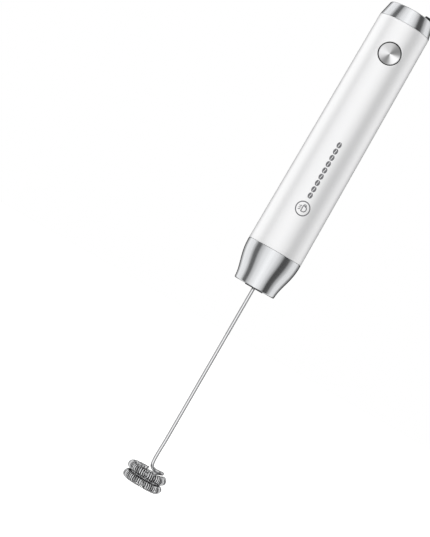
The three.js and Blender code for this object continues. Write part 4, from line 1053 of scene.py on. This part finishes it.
def wire_knots():
    lift = SLEEVE_RADIUS + LEG_OVER_SLEEVE
    leg = upper_ring + lift
    top = collar_low.z + SHAFT_SEAT
    bend_top = leg + BEND_RADIUS
    knots = [Vector((0, 0, top + (bend_top - top) * k / 8)) for k in range(9)]
    knots += [
        outward(BEND_RADIUS * 0.3, LEG_ANGLE, leg + BEND_RADIUS * 0.3),
        outward(BEND_RADIUS, LEG_ANGLE, leg),
        outward(RING_RADIUS * 0.68, LEG_ANGLE - 2, leg),
        outward(RING_RADIUS * 0.91, LEG_ANGLE + 7, leg - 0.1 * MM),
    ]
    landing = RING_START - LEG_ANGLE - 10
    for share in (0.5, 0.8):
        knots.append(ring_point(LEG_ANGLE + 10 + landing * share, lift * (1 - share) * 1.1))
    return knots + [ring_point(a) for a in range(RING_START, RING_LAST, 14)] + [ring_point(RING_LAST)]


def through(knots, per_span):
    """A smooth line through the knots, spaced by the root of each span's length so it never loops."""
    ends = [knots[0] * 2 - knots[1]] + knots + [knots[-1] * 2 - knots[-2]]
    line = []
    for a, b, c, d in zip(ends, ends[1:], ends[2:], ends[3:]):
        t0 = 0.0
        t1 = t0 + math.sqrt((b - a).length)
        t2 = t1 + math.sqrt((c - b).length)
        t3 = t2 + math.sqrt((d - c).length)
        for k in range(per_span):
            t = t1 + (t2 - t1) * k / per_span
            ab = a * ((t1 - t) / (t1 - t0)) + b * ((t - t0) / (t1 - t0))
            bc = b * ((t2 - t) / (t2 - t1)) + c * ((t - t1) / (t2 - t1))
            cd = c * ((t3 - t) / (t3 - t2)) + d * ((t - t2) / (t3 - t2))
            abc = ab * ((t2 - t) / (t2 - t0)) + bc * ((t - t0) / (t2 - t0))
            bcd = bc * ((t3 - t) / (t3 - t1)) + cd * ((t - t1) / (t3 - t1))
            line.append(abc * ((t2 - t) / (t2 - t1)) + bcd * ((t - t1) / (t2 - t1)))
    return line + [knots[-1]]


wire_line = through(wire_knots(), 6)
print("wire line:", len(wire_line), "points, upper ring at", round(upper_ring / MM, 2))


# %% Whisk wire
def wire_mesh(name, line, radius, sides=16):
    """A round wire along a line, with domed ends."""
    points, rings = [], []
    side = Vector((1, 0, 0))
    dome = [(0.0, -0.55), (0.45, -0.45), (0.8, -0.25), (1.0, 0.0)]
    directions = []
    for i in range(len(line)):
        directions.append((line[min(i + 1, len(line) - 1)] - line[max(i - 1, 0)]).normalized())
    first, last = directions[0], directions[-1]
    stations = [(line[0] + first * radius * back, first, radius * share) for share, back in dome]
    stations += [(p, d, radius) for p, d in zip(line[1:-1], directions[1:-1])]
    stations += [(line[-1] - last * radius * back, last, radius * share) for share, back in reversed(dome)]
    for middle, direction, reach in stations:
        side = (side - direction * side.dot(direction)).normalized()
        other = direction.cross(side)
        if reach == 0:
            rings.append([len(points)] * sides)
            points.append(middle)
            continue
        rings.append(list(range(len(points), len(points) + sides)))
        for k in range(sides):
            angle = 2 * math.pi * k / sides
            points.append(middle + (side * math.cos(angle) + other * math.sin(angle)) * reach)
    faces = []
    for ring, following in zip(rings, rings[1:]):
        for k in range(sides):
            face = [ring[k], ring[(k + 1) % sides], following[(k + 1) % sides], following[k]]
            faces.append(list(dict.fromkeys(face)))
    return mesh_from(name, points, faces)


piece("drawn_wire", wire_mesh("drawn_wire", wire_line, SHAFT_RADIUS), "whisk", "wire_steel", "whisk_shaft")

# %% [markdown]
# ## Spring round the rings
# Each ring is wound with fine spring wire, a coil that follows the ring's line. A node tree does this:
# it takes the ring's line, lays many points along it, pushes each point out to the coil's radius at a
# turning angle, and sweeps a fine round wire through them. Its inputs are the number of turns, the
# coil's radius, the wire's radius, and the finish.

# %% Spring by nodes
SPRING_FROM = RING_START + 10
SPRING_TO = RING_LAST - 2
SPRING_PITCH = 0.86 * MM
SPRING_WIRE = 0.25 * MM
POINTS_PER_TURN = 20
WIRE_SIDES = 8
LINE_STEPS = 400


def line_object(name, line):
    data = bpy.data.curves.new(name, "CURVE")
    data.dimensions = "3D"
    data.twist_mode = "Z_UP"
    spline = data.splines.new("POLY")
    spline.points.add(len(line) - 1)
    for point, where in zip(spline.points, line):
        point.co = (*where, 1)
    obj = bpy.data.objects.new(name, data)
    bpy.context.scene.collection.objects.link(obj)
    return obj


def group_input(tree, name, kind, value):
    socket = tree.interface.new_socket(name, in_out="INPUT", socket_type=kind)
    if value is not None:
        socket.default_value = value
    return socket.identifier


def maths(tree, operation, first, second=None):
    node = tree.nodes.new("ShaderNodeMath")
    node.operation = operation
    for socket, value in zip(node.inputs, (first, second)):
        if value is None:
            continue
        if isinstance(value, (int, float)):
            socket.default_value = value
        else:
            tree.links.new(value, socket)
    return node.outputs[0]


def scaled(tree, vector, factor):
    node = tree.nodes.new("ShaderNodeVectorMath")
    node.operation = "SCALE"
    tree.links.new(vector, node.inputs[0])
    tree.links.new(factor, node.inputs["Scale"])
    return node.outputs[0]


def summed(tree, first, second, operation="ADD"):
    node = tree.nodes.new("ShaderNodeVectorMath")
    node.operation = operation
    tree.links.new(first, node.inputs[0])
    tree.links.new(second, node.inputs[1])
    return node.outputs[0]


def winding_tree():
    """A node tree that winds a fine round wire round a line."""
    tree = bpy.data.node_groups.new("winding", "GeometryNodeTree")
    names = {
        "line": group_input(tree, "Line", "NodeSocketGeometry", None),
        "turns": group_input(tree, "Turns", "NodeSocketFloat", 100.0),
        "coil": group_input(tree, "Coil radius", "NodeSocketFloat", 1.0),
        "wire": group_input(tree, "Wire radius", "NodeSocketFloat", 0.1),
        "finish": group_input(tree, "Finish", "NodeSocketMaterial", None),
    }
    tree.interface.new_socket("Mesh", in_out="OUTPUT", socket_type="NodeSocketGeometry")
    given = tree.nodes.new("NodeGroupInput").outputs
    spread = tree.nodes.new("GeometryNodeResampleCurve")
    tree.links.new(given["Line"], spread.inputs["Curve"])
    tree.links.new(maths(tree, "MULTIPLY", given["Turns"], POINTS_PER_TURN), spread.inputs["Count"])
    along = tree.nodes.new("GeometryNodeSplineParameter")
    turned_so_far = maths(tree, "MULTIPLY", along.outputs["Factor"], given["Turns"])
    angle = maths(tree, "MULTIPLY", turned_so_far, 2 * math.pi)
    normal = tree.nodes.new("GeometryNodeInputNormal").outputs["Normal"]
    tangent = tree.nodes.new("GeometryNodeInputTangent").outputs["Tangent"]
    across = summed(tree, tangent, normal, "CROSS_PRODUCT")
    normal_share = maths(tree, "MULTIPLY", maths(tree, "COSINE", angle), given["Coil radius"])
    across_share = maths(tree, "MULTIPLY", maths(tree, "SINE", angle), given["Coil radius"])
    out_normal = scaled(tree, normal, normal_share)
    out_across = scaled(tree, across, across_share)
    move = tree.nodes.new("GeometryNodeSetPosition")
    tree.links.new(spread.outputs["Curve"], move.inputs["Geometry"])
    tree.links.new(summed(tree, out_normal, out_across), move.inputs["Offset"])
    straight = tree.nodes.new("GeometryNodeSetCurveNormal")
    straight.mode = "MINIMUM_TWIST"
    tree.links.new(move.outputs["Geometry"], straight.inputs["Curve"])
    section = tree.nodes.new("GeometryNodeCurvePrimitiveCircle")
    section.inputs["Resolution"].default_value = WIRE_SIDES
    tree.links.new(given["Wire radius"], section.inputs["Radius"])
    sweep = tree.nodes.new("GeometryNodeCurveToMesh")
    sweep.inputs["Fill Caps"].default_value = True
    tree.links.new(straight.outputs["Curve"], sweep.inputs["Curve"])
    tree.links.new(section.outputs["Curve"], sweep.inputs["Profile Curve"])
    real = tree.nodes.new("GeometryNodeRealizeInstances")
    painted = tree.nodes.new("GeometryNodeSetMaterial")
    result = tree.nodes.new("NodeGroupOutput")
    tree.links.new(sweep.outputs["Mesh"], real.inputs["Geometry"])
    tree.links.new(real.outputs["Geometry"], painted.inputs["Geometry"])
    tree.links.new(given["Finish"], painted.inputs["Material"])
    tree.links.new(painted.outputs["Geometry"], result.inputs["Mesh"])
    return tree, names


winding, winding_inputs = winding_tree()


def wound(name, line, turns, coil_radius, wire_radius, finish_name):
    """The mesh that the winding tree makes round a line."""
    carrier = line_object(name + "_line", line)
    nodes = carrier.modifiers.new("winding", "NODES")
    nodes.node_group = winding
    nodes[winding_inputs["turns"]] = float(turns)
    nodes[winding_inputs["coil"]] = coil_radius
    nodes[winding_inputs["wire"]] = wire_radius
    nodes[winding_inputs["finish"]] = FINISHES[finish_name]
    evaluated = carrier.evaluated_get(bpy.context.evaluated_depsgraph_get())
    mesh = bpy.data.meshes.new_from_object(evaluated)
    mesh.name = name
    bpy.data.objects.remove(carrier)
    return mesh


spring_span = SPRING_TO - SPRING_FROM
spring_line = [ring_point(SPRING_FROM + spring_span * k / LINE_STEPS) for k in range(LINE_STEPS + 1)]
spring_length = sum((b - a).length for a, b in zip(spring_line, spring_line[1:]))
spring_turns = round(spring_length / SPRING_PITCH)
coil_radius = SLEEVE_RADIUS - SPRING_WIRE
spring_mesh = wound("wound_spring", spring_line, spring_turns, coil_radius, SPRING_WIRE, "spring_steel")
piece("wound_spring", spring_mesh, "whisk", "spring_steel", "whisk_spring")
print("spring:", spring_turns, "turns over", round(spring_length / MM, 1), "mm")

# %% [markdown]
# ## Printed mark
# The grip carries a small grey print near its lower end. Here it is a plain one with no letters: a cup
# with three wisps of steam inside a ring, and above it a row of coffee beans. Each shape is a thin skin
# of ink that lies on the shell and follows its curve. A stroke's path is split into short steps first,
# so that no straight piece of ink sinks under the round shell.

# %% Printed mark
INK_LOW = 0.004 * MM
INK_HIGH = 0.03 * MM
INK_STEP = 0.25 * MM
MARK_MIDDLE = math.asin(0.9 * MM / GRIP_LOW_RADIUS)
ICON_HEIGHT = -36.3 * MM
ICON_RADIUS = 3.3 * MM
CUP_RADIUS = 1.35 * MM
BEANS = 9
BEAN_ROW = (-29.6 * MM, -3.6 * MM)
BEAN_HALF_LENGTH = 1.4 * MM
BEAN_HALF_WIDTH = 1.1 * MM


def ink(points, faces, outline_a, outline_b, closed):
    """A strip of ink between two outlines of (across, height) points, as a thin closed skin."""
    start = len(points)
    count = len(outline_a)
    for inward in (-INK_HIGH, -INK_LOW):
        for outline in (outline_a, outline_b):
            for across, height in outline:
                points.append(on_grip(MARK_MIDDLE + across / GRIP_LOW_RADIUS, height, inward))

    def at(layer, side, k):
        return start + (layer * 2 + side) * count + k % count

    spans = count if closed else count - 1
    for k in range(spans):
        faces.append([at(0, 0, k), at(0, 0, k + 1), at(0, 1, k + 1), at(0, 1, k)])
        faces.append([at(1, 0, k), at(1, 1, k), at(1, 1, k + 1), at(1, 0, k + 1)])
        faces.append([at(0, 0, k), at(1, 0, k), at(1, 0, k + 1), at(0, 0, k + 1)])
        faces.append([at(0, 1, k), at(0, 1, k + 1), at(1, 1, k + 1), at(1, 1, k)])
    if not closed:
        for k in (0, count - 1):
            faces.append([at(0, 0, k), at(0, 1, k), at(1, 1, k), at(1, 0, k)])


def short_steps(path):
    """The path with every long span split, so that ink laid along it can follow the shell."""
    fine = [Vector(path[0])]
    for here, following in zip(path, path[1:]):
        span_vector = Vector(following) - Vector(here)
        parts = max(1, math.ceil(span_vector.length / INK_STEP))
        fine += [Vector(here) + span_vector * (k + 1) / parts for k in range(parts)]
    return fine


def stroke(path, width, closed=False):
    """Both edges of a stroke of a width along a path of (across, height) points."""
    path = short_steps(path + [path[0]] if closed else path)
    if closed:
        path.pop()
    left, right = [], []
    count = len(path)
    for k, here in enumerate(path):
        before = path[k - 1] if k > 0 or closed else here
        after = path[(k + 1) % count] if k < count - 1 or closed else here
        along = (after - before).normalized()
        aside = Vector((-along.y, along.x)) * width / 2
        left.append(tuple(here + aside))
        right.append(tuple(here - aside))
    return left, right, closed


def arc(across, height, radius, start, end, steps=24):
    angles = [math.radians(start + (end - start) * k / steps) for k in range(steps + 1)]
    return [(across + radius * math.cos(angle), height + radius * math.sin(angle)) for angle in angles]


def cup_strokes(z):
    """A cup with its steam towards -X, because the print reads upward along the grip."""
    thin = 0.36 * MM
    rim = -0.35 * MM
    bowl = [(rim, z - CUP_RADIUS)] + arc(-rim, z, CUP_RADIUS, -80, 80, 20) + [(rim, z + CUP_RADIUS)]
    strokes = [
        stroke(arc(0, z, ICON_RADIUS, 0, 355, 71), 0.5 * MM, True),
        stroke(bowl, 0.42 * MM, True),
        stroke(arc(0.35 * MM, z + 1.4 * MM, 0.62 * MM, -50, 200, 16), thin),
    ]
    for shift in (-0.85, 0.0, 0.85):
        heights = [z + (shift + 0.2 * math.sin(math.pi * k / 5)) * MM for k in range(11)]
        wisp = [((-0.85 - 0.12 * k) * MM, height) for k, height in enumerate(heights)]
        strokes.append(stroke(wisp, 0.3 * MM))
    return strokes


def bean_halves(z):
    """The two halves of a bean, each between the bean's outside and the wavy slit down its middle."""
    halves = []
    for side in (-1, 1):
        outside, slit = [], []
        for k in range(25):
            share = k / 12 - 1
            bulge = math.sqrt(max(0.0, 1 - (share * 0.97) ** 2))
            wave = 0.16 * math.sin(math.pi * share)
            outside.append((side * BEAN_HALF_WIDTH * bulge, z + BEAN_HALF_LENGTH * share))
            slit.append(((wave + side * 0.15) * MM * bulge, z + BEAN_HALF_LENGTH * share * 0.97))
        halves.append((outside, slit, False))
    return halves


mark_shapes = cup_strokes(ICON_HEIGHT)
for k in range(BEANS):
    mark_shapes += bean_halves(BEAN_ROW[0] + (BEAN_ROW[1] - BEAN_ROW[0]) * k / (BEANS - 1))
mark_points, mark_faces = [], []
for edge_a, edge_b, closed in mark_shapes:
    ink(mark_points, mark_faces, edge_a, edge_b, closed)
piece("printed_mark", mesh_from("printed_mark", mark_points, mark_faces), "handle", "print_grey")

# %% [markdown]
# ## Charging socket
# Under the stopper the socket is a thin steel shell with a black tongue. The tongue carries a row of
# gilt contacts on each side.

# %% Socket contacts
CONTACTS = 12
CONTACT_SHARE = 0.56
CONTACT_LENGTH = 3.15 * MM
CONTACT_TOP = 0.25 * MM
tongue_low, tongue_high = low_high("usb_tongue")
contact_pitch = (tongue_high.x - tongue_low.x) * 0.9 / CONTACTS
strips = []
for side, face in ((1, tongue_high.y), (-1, tongue_low.y)):
    for k in range(CONTACTS):
        x = (k - (CONTACTS - 1) / 2) * contact_pitch
        half = contact_pitch * CONTACT_SHARE / 2
        outline = [(x - half, face - 0.03 * MM), (x + half, face - 0.03 * MM),
                   (x + half, face + 0.05 * MM), (x - half, face + 0.05 * MM)]
        if side < 0:
            outline = [(a, b - 0.02 * MM) for a, b in outline]
        top = tongue_high.z - CONTACT_TOP
        strips.append(prism("strip", outline, top - CONTACT_LENGTH, top, 0.01 * MM, 1))
piece("socket_contacts", join_meshes("socket_contacts", *strips), "handle", "gilt_contact")
